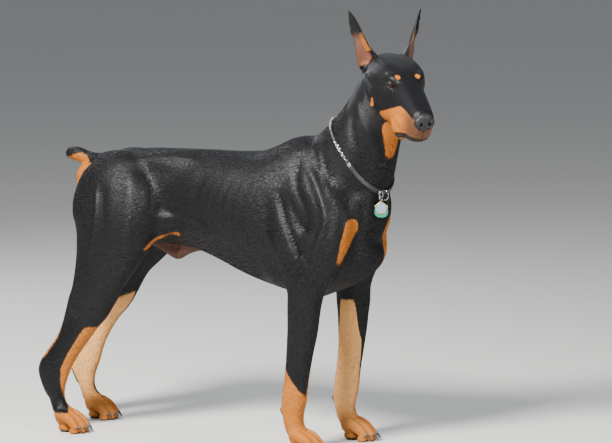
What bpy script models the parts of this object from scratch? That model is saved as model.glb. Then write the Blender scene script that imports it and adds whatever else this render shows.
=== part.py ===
"""Life-size standing Doberman pinscher with its collar and tags, as still display solids.

Metres, +Z up, +X towards the chest, +Y the dog's left. The origin is on the floor under the middle of
the model's box. The flesh is fused from anatomical forms, smoothed, and parted with thin cuts.
"""

import math

import bmesh
import bpy
import numpy as np
from mathutils import Matrix, Vector
from mathutils.bvhtree import BVHTree

# Gap that touching solids keep, and how fine the fused flesh is before it is simplified
GAP = 0.0003
VOXEL = 0.0027
FLESH_TRIANGLES = 6400

# Head: its own frame has x along the bridge towards the nose, y to the dog's left, z up,
# and its origin midway between the eyes
HEAD_AT = Vector((0.4838, -0.070, 0.8477))
HEAD_YAW = math.radians(-46.5)
HEAD_PITCH = math.radians(27.0)
HEAD_ROLL = math.radians(1.0)
HEAD_SIZE = 1.05

EYE_RADIUS = 0.0118
EYE_AT = Vector((-0.0041, 0.0298, 0.0008))
EYE_OUTWARD = math.radians(26.0)
LID_RADIUS = 0.0140
FISSURE_LENGTH = 0.0245
FISSURE_HEIGHT = 0.0125

# Ears: from the middle of the base to the tip, in the head's frame, and how far they face outward
EAR_BASE = Vector((-0.1105, 0.0495, -0.0200))
EAR_TIP = Vector((-0.180, 0.082, 0.083))
EAR_OUTWARD = math.radians(50.0)
EAR_LEATHER = 0.0036

NOSE_AT = Vector((0.1300, 0, -0.0130))

# The line of the mouth seen from the side, from its corner forwards: (x, z) in the head's frame
MOUTH_LINE = ((0.030, -0.0915), (0.050, -0.0870), (0.070, -0.0770), (0.090, -0.0655), (0.108, -0.0570))

# Legs, each by how far it stands from the middle
FORE_SPREAD = 0.100
HIND_SPREAD = 0.095
FAR_FORE = 0.040
FAR_KNEE = -0.044
FAR_HIND = -0.024
PAW_LENGTH = 0.050
CLAW_LENGTH = 0.017

# Collar: the middle of its loop, its lowest point, where it sags by a little, and its normal
COLLAR_HEART = Vector((0.338, 0.0, 0.699))
COLLAR_LOW = Vector((0.402, -0.037, 0.601))
COLLAR_NORMAL = Vector((0.753, -0.164, 0.637)).normalized()
COLLAR_SAG = 0.007
CLAMP_RIGHT = math.radians(-45.0)
CLAMP_LEFT = math.radians(60.0)
COLLAR_LIFT = 0.0009
STRAP_WIDTH = 0.0105
STRAP_THICKNESS = 0.0030
CHAIN_RADIUS = 0.0028

# Rings and tags under the lowest point of the collar
WIRE = 0.0009
DEE_RADIUS = 0.0046
SPLIT_RADIUS = 0.0077
ROUND_RADIUS = 0.0116
SMALL_RADIUS = 0.0042
STAR_OUTER = 0.0172
STAR_INNER = 0.0126
DISC_RADIUS = 0.0118
BACK_TAG_WIDTH = 0.0155
BACK_TAG_HEIGHT = 0.0140
TAG_THICKNESS = 0.0012


def clear_scene():
    """Empties the scene of whatever it starts with."""
    for obj in list(bpy.data.objects):
        bpy.data.objects.remove(obj)


def new_collection(name):
    """A collection linked to the scene."""
    made = bpy.data.collections.new(name)
    bpy.context.scene.collection.children.link(made)
    return made


def new_object(name, mesh, collection):
    """An object of that mesh, in that collection."""
    obj = bpy.data.objects.new(name, mesh)
    collection.objects.link(obj)
    return obj


def material(name, colour, roughness, metallic=0.0):
    """A plain Principled material."""
    made = bpy.data.materials.new(name)
    made.use_nodes = True
    shader = made.node_tree.nodes["Principled BSDF"]
    shader.inputs["Base Color"].default_value = (*colour, 1.0)
    shader.inputs["Roughness"].default_value = roughness
    shader.inputs["Metallic"].default_value = metallic
    return made


def spline(rows, steps):
    """Rows of numbers joined by a smooth curve through them, with steps rows for each stretch."""
    rows = np.array(rows, float)
    padded = np.vstack([2 * rows[0] - rows[1], rows, 2 * rows[-1] - rows[-2]])
    found = []
    for i in range(len(rows) - 1):
        a, b, c, d = padded[i : i + 4]
        for t in np.arange(steps) / steps:
            bend = (2 * a - 5 * b + 4 * c - d) * t * t
            turn = (3 * b - a - 3 * c + d) * t**3
            found.append(0.5 * (2 * b + (c - a) * t + bend + turn))
    found.append(rows[-1])
    return np.array(found)


def power(value, exponent):
    """A signed power, which squares or pinches a round section."""
    return math.copysign(abs(value) ** exponent, value)


def loft_loops(loops):
    """A closed bmesh through loops of the same number of points, capped at both ends."""
    made = bmesh.new()
    rings = [[made.verts.new(p) for p in loop] for loop in loops]
    count = len(rings[0])
    for low, high in zip(rings, rings[1:]):
        for k in range(count):
            made.faces.new((low[k], low[(k + 1) % count], high[(k + 1) % count], high[k]))
    made.faces.new(rings[0][::-1])
    made.faces.new(rings[-1])
    bmesh.ops.recalc_face_normals(made, faces=made.faces)
    return made


def loft(stations, front=(1, 0, 0), steps=4, sides=24, square=1.0, cap=0.5):
    """A closed bmesh along stations of (x, y, z, front radius, back radius, side radius).

    front is the way that the front radius points. square under 1 makes fuller, boxier sections.
    """
    rows = spline(stations, steps)
    rows[:, 3:] = np.maximum(rows[:, 3:], 0.0008)
    points = [Vector(r[:3]) for r in rows]
    made = bmesh.new()
    rings = []
    last = len(points) - 1
    for i, at in enumerate(points):
        along = (points[min(i + 1, last)] - points[max(i - 1, 0)]).normalized()
        side = along.cross(Vector(front)).normalized()
        fore = side.cross(along).normalized()
        r_front, r_back, r_side = rows[i][3:6]
        ring = []
        for k in range(sides):
            turn = 2 * math.pi * k / sides
            c, s = power(math.cos(turn), square), power(math.sin(turn), square)
            reach = r_front if c > 0 else r_back
            ring.append(made.verts.new(at + fore * (reach * c) + side * (r_side * s)))
        rings.append(ring)
    for low, high in zip(rings, rings[1:]):
        for k in range(sides):
            made.faces.new((low[k], low[(k + 1) % sides], high[(k + 1) % sides], high[k]))
    for ring, inner, at in ((rings[0], 1, 0), (rings[-1], last - 1, last)):
        out = (points[at] - points[inner]).normalized()
        tip = made.verts.new(points[at] + out * float(min(rows[at][3:6])) * cap)
        for k in range(sides):
            made.faces.new((ring[k], ring[(k + 1) % sides], tip))
    bmesh.ops.recalc_face_normals(made, faces=made.faces)
    return made


def bar(stations, front=(0, 0, 1), **shape):
    """A loft whose stations give a top and a bottom: (x, y, top, bottom, side radius)."""
    rows = [(x, y, (t + b) / 2, (t - b) / 2, (t - b) / 2, side) for x, y, t, b, side in stations]
    return loft(rows, front=front, **shape)


def limb(stations, **shape):
    """A loft down a leg by its outline: (z, front x, rear x, y, side radius, shift along x)."""
    rows = []
    for z, ahead, behind, y, side, shift in stations:
        half = (ahead - behind) / 2
        rows.append(((ahead + behind) / 2 + shift, y, z, half, half, side))
    return loft(rows, **shape)


def bulge(at, radii, turn=(0, 0, 0), detail=3):
    """A closed bmesh of an ellipsoid, turned by degrees about x, y and z."""
    made = bmesh.new()
    bmesh.ops.create_icosphere(made, subdivisions=detail, radius=1.0)
    spin = Matrix.Rotation(math.radians(turn[2]), 4, "Z")
    spin @= Matrix.Rotation(math.radians(turn[1]), 4, "Y")
    spin @= Matrix.Rotation(math.radians(turn[0]), 4, "X")
    size = Matrix.Diagonal((*radii, 1.0))
    bmesh.ops.transform(made, matrix=Matrix.Translation(at) @ spin @ size, verts=made.verts)
    return made


def mirrored(made):
    """A copy of a bmesh on the other side of the middle."""
    copy = made.copy()
    bmesh.ops.transform(copy, matrix=Matrix.Diagonal((1, -1, 1, 1)), verts=copy.verts)
    bmesh.ops.reverse_faces(copy, faces=copy.faces)
    return copy


def both(made):
    """A form and its mirror image."""
    return [made, mirrored(made)]


def placed(forms, matrix):
    """The same forms, moved by a matrix."""
    for made in forms:
        bmesh.ops.transform(made, matrix=matrix, verts=made.verts)
    return forms


def torso_forms():
    """Trunk, withers, ribs, shoulders, forechest, loin and rump."""
    forms = [
        bar(
            [
                (-0.352, 0, 0.626, 0.545, 0.036),
                (-0.330, 0, 0.653, 0.505, 0.062),
                (-0.290, 0, 0.668, 0.485, 0.080),
                (-0.240, 0, 0.675, 0.468, 0.086),
                (-0.180, 0, 0.678, 0.458, 0.083),
                (-0.110, 0, 0.679, 0.452, 0.084),
                (-0.040, 0, 0.680, 0.438, 0.097),
                (0.030, 0, 0.681, 0.414, 0.110),
                (0.100, 0, 0.688, 0.383, 0.116),
                (0.160, 0, 0.705, 0.360, 0.114),
                (0.220, 0, 0.722, 0.346, 0.106),
                (0.280, 0, 0.700, 0.342, 0.100),
                (0.318, 0, 0.650, 0.388, 0.092),
                (0.356, 0, 0.625, 0.462, 0.076),
                (0.394, 0, 0.602, 0.515, 0.048),
            ],
            sides=32,
            square=0.92,
        )
    ]
    # Shoulder blade, upper arm and triceps of each side
    forms += both(
        loft(
            [
                (0.178, 0.036, 0.690, 0.046, 0.046, 0.018),
                (0.215, 0.064, 0.640, 0.058, 0.058, 0.026),
                (0.262, 0.082, 0.585, 0.062, 0.062, 0.032),
                (0.302, 0.090, 0.530, 0.060, 0.060, 0.036),
                (0.300, 0.094, 0.470, 0.054, 0.058, 0.037),
                (0.288, 0.096, 0.410, 0.045, 0.052, 0.036),
            ],
            sides=28,
        )
    )
    forms += both(
        loft(
            [
                (0.190, 0.078, 0.590, 0.052, 0.046, 0.024),
                (0.205, 0.093, 0.520, 0.058, 0.050, 0.030),
                (0.222, 0.101, 0.455, 0.052, 0.044, 0.031),
                (0.236, 0.102, 0.400, 0.038, 0.036, 0.028),
            ]
        )
    )
    # Breast muscle of each side and the point of the breastbone between them
    forms += both(bulge((0.328, 0.052, 0.500), (0.036, 0.044, 0.074), (0, 20, 0)))
    forms += both(bulge((0.364, 0.036, 0.566), (0.038, 0.046, 0.062), (0, -6, 0)))
    # Loin and croup
    forms += both(bulge((-0.130, 0.036, 0.636), (0.150, 0.036, 0.040)))
    forms += both(bulge((-0.240, 0.046, 0.628), (0.090, 0.044, 0.044), (0, 8, 0)))
    forms.append(bulge((-0.358, 0, 0.592), (0.037, 0.040, 0.048)))
    # Web of skin from the flank to the stifle, and the sheath under the belly
    forms += both(bulge((-0.156, 0.072, 0.512), (0.070, 0.020, 0.052), (0, -28, 0)))
    forms.append(
        loft(
            [
                (-0.205, 0, 0.462, 0.016, 0.016, 0.016),
                (-0.160, 0, 0.446, 0.018, 0.017, 0.017),
                (-0.125, 0, 0.434, 0.019, 0.024, 0.017),
                (-0.103, 0, 0.438, 0.018, 0.014, 0.015),
                (-0.060, 0, 0.446, 0.012, 0.008, 0.012),
            ],
            front=(0, 0, 1),
            sides=14,
        )
    )
    return forms


def neck_forms():
    """The neck from the withers to the back of the skull, with its arch and throat."""
    forms = [
        loft(
            [
                (0.285, 0.000, 0.560, 0.100, 0.125, 0.092),
                (0.312, 0.000, 0.615, 0.102, 0.125, 0.086),
                (0.338, -0.002, 0.665, 0.092, 0.116, 0.077),
                (0.364, -0.003, 0.725, 0.078, 0.092, 0.067),
                (0.384, 0.000, 0.785, 0.068, 0.070, 0.060),
                (0.402, 0.006, 0.840, 0.062, 0.060, 0.056),
                (0.418, 0.010, 0.880, 0.045, 0.045, 0.045),
            ],
            sides=32,
        )
    ]
    return forms


def tail_forms():
    """The short docked tail."""
    return [
        loft(
            [
                (-0.285, 0, 0.640, 0.026, 0.034, 0.028),
                (-0.325, 0, 0.640, 0.0215, 0.026, 0.021),
                (-0.362, 0, 0.6455, 0.0175, 0.0180, 0.0165),
                (-0.398, 0, 0.6545, 0.0180, 0.0175, 0.0165),
                (-0.420, 0, 0.655, 0.0130, 0.0135, 0.0130),
            ],
            front=(0, 0, 1),
            cap=0.7,
        )
    ]


def toes(at, length):
    """Each toe of a paw as (root, knuckle, tip) points; at is the floor under the toes' roots."""
    x, y = at
    found = []
    for place in (-1.5, -0.5, 0.5, 1.5):
        outer = abs(place) > 1
        reach = (0.78 if outer else 1.0) * length
        back = x - (0.008 if outer else 0.0)
        spread = y + place * 0.0150
        found.append(
            (
                Vector((back - 0.012, y + place * 0.0100, 0.046)),
                Vector((back + 0.012, spread, 0.040)),
                Vector((x + reach, spread + place * 0.0012, 0.013)),
            )
        )
    return found


def paw_forms(at, length=PAW_LENGTH):
    """One paw with four arched toes and its pads."""
    x, y = at
    forms = []
    for root, knuckle, tip in toes(at, length):
        bend = knuckle.lerp(tip, 0.55) + Vector((0, 0, 0.0045))
        forms.append(
            loft(
                [
                    (*root, 0.013, 0.013, 0.0110),
                    (*knuckle, 0.0125, 0.014, 0.0108),
                    (*bend, 0.0120, 0.013, 0.0105),
                    (*tip, 0.0100, 0.010, 0.0090),
                ],
                front=(0, 0, 1),
                sides=14,
            )
        )
        forms.append(bulge(tip + Vector((-0.007, 0, -0.0065)), (0.0125, 0.0088, 0.0098), detail=2))
    forms.append(bulge((x - 0.004, y, 0.0105), (0.020, 0.020, 0.0140), detail=2))
    forms.append(bulge((x - 0.006, y, 0.036), (0.026, 0.026, 0.024), detail=2))
    return forms


def fore_paw_at(side, shift):
    """The floor under the toes' roots of a forepaw."""
    return (0.242 + shift, side * FORE_SPREAD)


def hind_paw_at(side, shift):
    """The floor under the toes' roots of a hind paw."""
    return (-0.374 + shift, side * HIND_SPREAD)


def foreleg_forms(side, shift=0.0):
    """One foreleg from the upper arm to the paw; side is 1 on the left and -1 on the right."""
    y = side * FORE_SPREAD
    forms = [
        loft(
            [
                (0.290 + shift * 0.5, y * 0.90, 0.500, 0.052, 0.060, 0.040),
                (0.272 + shift * 0.6, y * 0.96, 0.440, 0.056, 0.062, 0.040),
                (0.256 + shift * 0.7, y * 0.99, 0.385, 0.046, 0.048, 0.037),
                (0.251 + shift * 0.8, y, 0.335, 0.038, 0.045, 0.0335),
                (0.245 + shift * 0.9, y, 0.285, 0.0370, 0.0385, 0.0295),
                (0.237 + shift, y, 0.225, 0.0320, 0.0330, 0.0255),
                (0.231 + shift, y, 0.170, 0.0290, 0.0320, 0.0230),
                (0.226 + shift, y, 0.125, 0.0290, 0.0330, 0.0250),
                (0.222 + shift, y, 0.090, 0.0250, 0.0290, 0.0235),
                (0.224 + shift, y, 0.062, 0.0230, 0.0240, 0.0225),
                (0.232 + shift, y, 0.044, 0.0230, 0.0220, 0.0245),
            ],
            sides=24,
        ),
        # Point of the elbow, the stopper pad and the extensor muscle
        bulge((0.214 + shift * 0.7, y * 1.03, 0.402), (0.019, 0.019, 0.032)),
        bulge((0.194 + shift, y, 0.096), (0.0085, 0.0095, 0.012), detail=2),
        bulge((0.262 + shift * 0.8, y * 1.10, 0.325), (0.027, 0.020, 0.060), (0, 8, 0)),
    ]
    forms += paw_forms(fore_paw_at(side, shift))
    return forms


def hindleg_forms(side, knee=0.0, shift=0.0):
    """One hind leg from the thigh to the paw; knee and shift move the stifle and the foot along x."""
    y = side * HIND_SPREAD
    k, s = knee, shift
    forms = [
        # Thigh, from the haunch to the calf
        limb(
            [
                (0.642, -0.180, -0.300, y * 0.56, 0.034, 0),
                (0.600, -0.150, -0.347, y * 0.76, 0.044, 0),
                (0.545, -0.134, -0.361, y * 0.88, 0.051, k * 0.2),
                (0.490, -0.142, -0.353, y * 0.94, 0.052, k * 0.5),
                (0.444, -0.170, -0.350, y * 0.96, 0.050, k * 0.8),
                (0.401, -0.200, -0.350, y * 0.98, 0.046, k),
                (0.352, -0.230, -0.356, y, 0.040, k),
                (0.311, -0.254, -0.366, y, 0.034, k),
                (0.275, -0.284, -0.372, y, 0.026, k),
            ],
            sides=28,
        ),
        # Shin, hock and metatarsus
        limb(
            [
                (0.340, -0.244, -0.330, y, 0.034, k),
                (0.300, -0.264, -0.344, y, 0.0290, k),
                (0.262, -0.292, -0.358, y, 0.0250, k),
                (0.225, -0.320, -0.380, y, 0.0215, k * 0.9),
                (0.190, -0.345, -0.404, y, 0.0195, k * 0.6 + s * 0.2),
                (0.155, -0.364, -0.432, y, 0.0205, k * 0.2 + s * 0.6),
                (0.120, -0.376, -0.436, y, 0.0195, s),
                (0.085, -0.382, -0.424, y, 0.0180, s),
                (0.060, -0.375, -0.414, y, 0.0190, s),
                (0.042, -0.358, -0.406, y, 0.0220, s),
            ],
            sides=20,
        ),
        # Achilles tendon with the web of skin before it, and the point of the hock
        limb(
            [
                (0.330, -0.310, -0.366, y, 0.022, k),
                (0.282, -0.318, -0.380, y, 0.0150, k),
                (0.243, -0.334, -0.392, y, 0.0120, k),
                (0.207, -0.362, -0.412, y, 0.0110, k * 0.7 + s * 0.2),
                (0.180, -0.386, -0.433, y, 0.0120, k * 0.3 + s * 0.6),
                (0.148, -0.400, -0.453, y, 0.0138, s),
                (0.118, -0.405, -0.446, y, 0.0125, s),
                (0.085, -0.400, -0.430, y, 0.0110, s),
            ],
            sides=16,
        ),
    ]
    forms += paw_forms(hind_paw_at(side, s), length=PAW_LENGTH * 0.94)
    return forms


def head_matrix():
    """From the head's own frame to the dog's."""
    turn = Matrix.Rotation(HEAD_YAW, 4, "Z")
    nod = Matrix.Rotation(HEAD_PITCH, 4, "Y")
    tilt = Matrix.Rotation(HEAD_ROLL, 4, "X")
    return Matrix.Translation(HEAD_AT) @ turn @ nod @ tilt @ Matrix.Scale(HEAD_SIZE, 4)


def head_loft(stations, steps=4, sides=36):
    """A loft along the head; each station is (x, top, middle, bottom, half width, upper, lower).

    The half width is at the middle height. upper and lower under 1 make those halves boxier.
    """
    rows = spline(stations, steps)
    loops = []
    for x, top, middle, bottom, half, upper, lower in rows:
        loop = []
        for k in range(sides):
            turn = 2 * math.pi * k / sides
            c, s = math.cos(turn), math.sin(turn)
            shape = upper if c > 0 else lower
            reach = (top - middle) if c > 0 else (middle - bottom)
            loop.append((x, half * power(s, shape), middle + reach * power(c, shape)))
        loops.append(loop)
    return loft_loops(loops)


def head_forms():
    """Skull, brows, cheeks, muzzle, lips and jaw, in the head's own frame."""
    forms = [
        head_loft(
            [
                (-0.139, 0.000, -0.022, -0.050, 0.020, 0.90, 0.90),
                (-0.126, 0.006, -0.024, -0.070, 0.040, 0.80, 0.90),
                (-0.100, 0.0145, -0.028, -0.096, 0.0550, 0.68, 0.86),
                (-0.070, 0.0215, -0.029, -0.108, 0.0605, 0.66, 0.82),
                (-0.040, 0.0262, -0.026, -0.108, 0.0590, 0.68, 0.82),
                (-0.016, 0.0270, -0.024, -0.102, 0.0490, 0.70, 0.80),
                (0.010, 0.0230, -0.024, -0.096, 0.0378, 0.70, 0.76),
                (0.038, 0.0188, -0.027, -0.091, 0.0345, 0.70, 0.72),
                (0.070, 0.0152, -0.030, -0.084, 0.0325, 0.68, 0.70),
                (0.100, 0.0120, -0.031, -0.077, 0.0300, 0.68, 0.70),
                (0.119, 0.0085, -0.030, -0.070, 0.0265, 0.70, 0.74),
                (0.131, 0.0030, -0.026, -0.060, 0.0205, 0.80, 0.85),
                (0.137, -0.006, -0.024, -0.048, 0.0130, 0.90, 0.90),
            ]
        )
    ]
    forms += both(bulge((-0.044, 0.0500, -0.018), (0.044, 0.0100, 0.0130), (0, 0, -17)))
    forms += both(bulge((-0.006, 0.0290, 0.0155), (0.022, 0.0125, 0.0095), (0, 0, -22)))
    forms += both(bulge((0.074, 0.0240, -0.046), (0.046, 0.0100, 0.0165), (0, -3, -5)))
    # Hanging upper lip at the corner of the mouth, and the corner of the jaw
    forms += both(bulge((0.052, 0.0235, -0.0725), (0.038, 0.0105, 0.0170), (0, 14, -4)))
    forms += both(bulge((-0.084, 0.0360, -0.072), (0.040, 0.0270, 0.0440), (0, -14, 0)))
    forms += both(bulge(EYE_AT, (LID_RADIUS, LID_RADIUS, LID_RADIUS)))
    return placed(forms, head_matrix())


def joined(name, forms, collection):
    """One object that holds all the forms, still loose."""
    whole = bpy.data.meshes.new(name)
    gathered = bmesh.new()
    for form in forms:
        spare = bpy.data.meshes.new("form")
        form.to_mesh(spare)
        form.free()
        gathered.from_mesh(spare)
        bpy.data.meshes.remove(spare)
    gathered.to_mesh(whole)
    gathered.free()
    return new_object(name, whole, collection)


def applied(obj):
    """Makes the object's modifiers part of its mesh."""
    graph = bpy.context.evaluated_depsgraph_get()
    made = bpy.data.meshes.new_from_object(obj.evaluated_get(graph))
    obj.modifiers.clear()
    old = obj.data
    obj.data = made
    bpy.data.meshes.remove(old)
    return obj


def weigh(obj, name, weights):
    """A vertex group whose weights are rounded to eleven levels."""
    group = obj.vertex_groups.new(name=name)
    levels = np.round(np.clip(weights, 0, 1) * 10).astype(int)
    for level in range(11):
        group.add(np.flatnonzero(levels == level).tolist(), level / 10, "REPLACE")
    return group


def vertex_places(obj):
    """The vertices of an object's mesh as an array."""
    flat = np.empty(len(obj.data.vertices) * 3)
    obj.data.vertices.foreach_get("co", flat)
    return flat.reshape(-1, 3)


def near(places, at, radius, soft):
    """How near each place is to a point: 1 within the radius, 0 past radius and soft together."""
    reach = np.linalg.norm(places - np.array(at), axis=1)
    return np.clip((radius + soft - reach) / soft, 0, 1)


def flesh(forms, collection):
    """One smooth body, softest on the trunk and thighs, simplified least on the face."""
    obj = joined("flesh", forms, collection)
    skin = obj.modifiers.new("One skin", "REMESH")
    skin.mode = "VOXEL"
    skin.voxel_size = VOXEL
    applied(obj)
    places = vertex_places(obj)
    face = near(places, head_matrix() @ Vector((0.010, 0, -0.02)), 0.135, 0.05)
    paws = np.clip((0.085 - places[:, 2]) / 0.03, 0, 1)
    limbs = np.clip((0.36 - places[:, 2]) / 0.10, 0, 1) * 0.8
    tail = np.clip((-0.355 - places[:, 0]) / 0.02, 0, 1) * (places[:, 2] > 0.61) * 0.75
    weigh(obj, "Soft", 1.0 - np.maximum.reduce([face * 0.95, paws, limbs, tail]))
    weigh(obj, "Plain", 1.0 - np.maximum(face * 0.93, paws * 0.4))
    first = obj.modifiers.new("All over", "SMOOTH")
    first.factor = 0.5
    first.iterations = 4
    soft = obj.modifiers.new("Soft creases", "SMOOTH")
    soft.factor = 0.5
    soft.iterations = 150
    soft.vertex_group = "Soft"
    applied(obj)
    triangles = sum(len(p.vertices) - 2 for p in obj.data.polygons)
    fewer = obj.modifiers.new("Fewer faces", "DECIMATE")
    fewer.ratio = FLESH_TRIANGLES / triangles
    fewer.vertex_group = "Plain"
    fewer.vertex_group_factor = 0.0001
    fewer.use_collapse_triangulate = True
    return applied(obj)


def surface_of(obj):
    """A search tree of an object's mesh."""
    graph = bpy.context.evaluated_depsgraph_get()
    return BVHTree.FromObject(obj, graph)


def whole_piece(made):
    """Keeps only the largest closed surface of a bmesh."""
    left = set(made.faces)
    shells = []
    while left:
        shell = {left.pop()}
        edge = list(shell)
        while edge:
            face = edge.pop()
            for side in face.edges:
                for other in side.link_faces:
                    if other in left:
                        left.discard(other)
                        shell.add(other)
                        edge.append(other)
        shells.append(shell)
    shells.sort(key=lambda shell: sum(f.calc_area() for f in shell))
    scraps = [face for shell in shells[:-1] for face in shell]
    bmesh.ops.delete(made, geom=scraps, context="FACES")
    loose = [v for v in made.verts if not v.link_faces]
    bmesh.ops.delete(made, geom=loose, context="VERTS")


def finish_mesh(obj, merge=0.00002):
    """Welds what a cut left doubled, splits its faces into triangles and drops scraps."""
    made = bmesh.new()
    made.from_mesh(obj.data)
    bmesh.ops.remove_doubles(made, verts=made.verts, dist=merge)
    bmesh.ops.dissolve_degenerate(made, edges=made.edges, dist=merge)
    bmesh.ops.triangulate(made, faces=made.faces)
    whole_piece(made)
    bmesh.ops.recalc_face_normals(made, faces=made.faces)
    made.to_mesh(obj.data)
    made.free()
    return obj


def cut(obj, tool, operation="DIFFERENCE", solver="EXACT"):
    """Cuts an object by another one, or keeps what they share."""
    knife = obj.modifiers.new("Cut", "BOOLEAN")
    knife.operation = operation
    knife.object = tool
    knife.solver = solver
    applied(obj)
    return finish_mesh(obj)


def swollen(obj, by=GAP):
    """A copy of an object, larger by a gap all round, to cut its neighbours with."""
    copy = new_object("swollen_" + obj.name, obj.data.copy(), obj.users_collection[0])
    swell = copy.modifiers.new("Swell", "DISPLACE")
    swell.strength = by
    swell.mid_level = 0.0
    return applied(copy)


def clear_of(obj, *others):
    """Cuts an object clear of its neighbours by the gap."""
    for other in others:
        tool = swollen(other)
        cut(obj, tool)
        bpy.data.objects.remove(tool)
    return obj


def prism(outline, low, high, grow=0.0):
    """A closed object: an outline in x and z, swept along y from low to high, grown all round."""
    made = bmesh.new()
    middle = sum((Vector((x, z)) for x, z in outline), Vector((0, 0))) / len(outline)
    rings = []
    for y in (low - grow, high + grow):
        ring = []
        for x, z in outline:
            out = Vector((x, z)) - middle
            place = Vector((x, z)) + out.normalized() * grow
            ring.append(made.verts.new((place.x, y, place.y)))
        rings.append(ring)
    count = len(outline)
    for k in range(count):
        made.faces.new((rings[0][k], rings[0][(k + 1) % count], rings[1][(k + 1) % count], rings[1][k]))
    made.faces.new(rings[0][::-1])
    made.faces.new(rings[1])
    bmesh.ops.recalc_face_normals(made, faces=made.faces)
    return made


def slab(at, normal, width, thickness):
    """A closed box, wide across the normal at a point, and thick from there along it."""
    made = bmesh.new()
    bmesh.ops.create_cube(made, size=1.0)
    turn = Vector(normal).to_track_quat("Z", "Y").to_matrix().to_4x4()
    size = Matrix.Diagonal((width, width, thickness, 1.0))
    lift = Matrix.Translation((0, 0, thickness / 2))
    matrix = Matrix.Translation(at) @ turn @ lift @ size
    bmesh.ops.transform(made, matrix=matrix, verts=made.verts)
    return made


def taken(obj, name, keep, clear, collection):
    """Parts a node off a body: what lies in keep becomes the node, and the body loses clear."""
    node = new_object(name, obj.data.copy(), collection)
    tool = joined("keep", [keep], collection)
    cut(node, tool, "INTERSECT")
    bpy.data.objects.remove(tool)
    tool = joined("clear", [clear], collection)
    cut(obj, tool)
    bpy.data.objects.remove(tool)
    return node


def parted(obj, name, at, normal, width, collection):
    """Parts off what lies ahead of a plane, as a new node, with the gap between them."""
    ahead = Vector(at) + Vector(normal).normalized() * GAP
    keep = slab(ahead, normal, width, 1.0)
    clear = slab(at, normal, width, 1.0)
    return taken(obj, name, keep, clear, collection)


def thigh_outline():
    """The thigh and all below it, seen from the side."""
    return [
        (-0.560, -0.050),
        (-0.240, -0.050),
        (-0.100, 0.380),
        (-0.112, 0.500),
        (-0.150, 0.575),
        (-0.215, 0.618),
        (-0.290, 0.622),
        (-0.345, 0.590),
        (-0.420, 0.520),
        (-0.560, 0.300),
    ]


def arm_outline(shift):
    """The upper arm, elbow and all below it, seen from the side."""
    rows = [
        (0.120, -0.050),
        (0.440, -0.050),
        (0.440, 0.340),
        (0.372, 0.420),
        (0.350, 0.500),
        (0.300, 0.545),
        (0.240, 0.540),
        (0.190, 0.480),
        (0.150, 0.400),
    ]
    return [(x + shift * 0.5, z) for x, z in rows]


def ear_forms(side):
    """One cropped ear: an upright leaf, folded into a cup at its base, in the head's own frame."""
    base = Vector((EAR_BASE.x, EAR_BASE.y * side, EAR_BASE.z))
    tip = Vector((EAR_TIP.x, EAR_TIP.y * side, EAR_TIP.z))
    axis = (tip - base).normalized()
    face = Vector((math.cos(EAR_OUTWARD), side * math.sin(EAR_OUTWARD), 0.0))
    face = (face - axis * face.dot(axis)).normalized()
    outer = axis.cross(face) * -side
    # Along the ear: half width, depth of the fold, how the middle leans out, thickness
    rows = [
        (-0.30, 0.0170, 0.0150, 0.005, 1.10, 0.020),
        (-0.16, 0.0290, 0.0260, 0.008, 1.10, 0.018),
        (0.00, 0.0335, 0.0280, 0.009, 1.05, 0.014),
        (0.13, 0.0315, 0.0250, 0.007, 1.00, 0.009),
        (0.27, 0.0250, 0.0190, 0.0035, 1.00, 0.005),
        (0.42, 0.0190, 0.0128, 0.001, 0.95, 0.002),
        (0.60, 0.0158, 0.0085, 0.000, 0.90, 0.000),
        (0.78, 0.0122, 0.0055, 0.000, 0.80, 0.000),
        (0.92, 0.0068, 0.0035, -0.001, 0.65, 0.000),
        (1.00, 0.0022, 0.0026, -0.002, 0.50, 0.000),
    ]
    length = (tip - base).length
    loops = []
    for along, half, depth, lean, thick, slope in spline(rows, 2):
        middle = base + axis * (along * length) + outer * lean
        leather = EAR_LEATHER * thick
        loop = []
        arc = np.linspace(-1.72, 1.72, 8)
        for turn in arc:
            across = outer * (half * math.sin(turn)) - axis * (slope * math.sin(turn))
            loop.append(middle + across - face * (depth * math.cos(turn)))
        for turn in arc[::-1]:
            wide, deep = max(half - leather, 0.0008), max(depth - leather, 0.0006)
            across = outer * (wide * math.sin(turn)) - axis * (slope * math.sin(turn))
            loop.append(middle + across - face * (deep * math.cos(turn)))
        loops.append(loop)
    return placed([loft_loops(loops)], head_matrix())


def eye_direction(side):
    """The way an eye looks, in the head's own frame."""
    return Vector((math.cos(EYE_OUTWARD), side * math.sin(EYE_OUTWARD), 0.06)).normalized()


def eye_forms(side):
    """One eyeball with its cornea, in the head's own frame."""
    at = Vector((EYE_AT.x, EYE_AT.y * side, EYE_AT.z))
    ball = bulge(at, (EYE_RADIUS,) * 3)
    return placed([ball], head_matrix())


def fissure(side):
    """The almond opening between the lids, as a closed cutter along the eye's direction."""
    at = Vector((EYE_AT.x, EYE_AT.y * side, EYE_AT.z))
    look = eye_direction(side)
    up = Vector((0, 0, 1))
    across = look.cross(up).normalized() * -side
    up = across.cross(look).normalized()
    if up.z < 0:
        up = -up
    loops = []
    for reach, size in ((0.001, 0.75), (LID_RADIUS * 1.7, 1.12)):
        loop = []
        for k in range(16):
            turn = 2 * math.pi * k / 16
            u, v = math.cos(turn), math.sin(turn)
            wide = across * (u * FISSURE_LENGTH / 2 * size)
            tall = up * (power(v, 1.25) * FISSURE_HEIGHT / 2 * size - 0.0012 * u)
            loop.append(at + look * reach + wide + tall)
        loops.append(loop)
    return placed([loft_loops(loops)], head_matrix())


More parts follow.
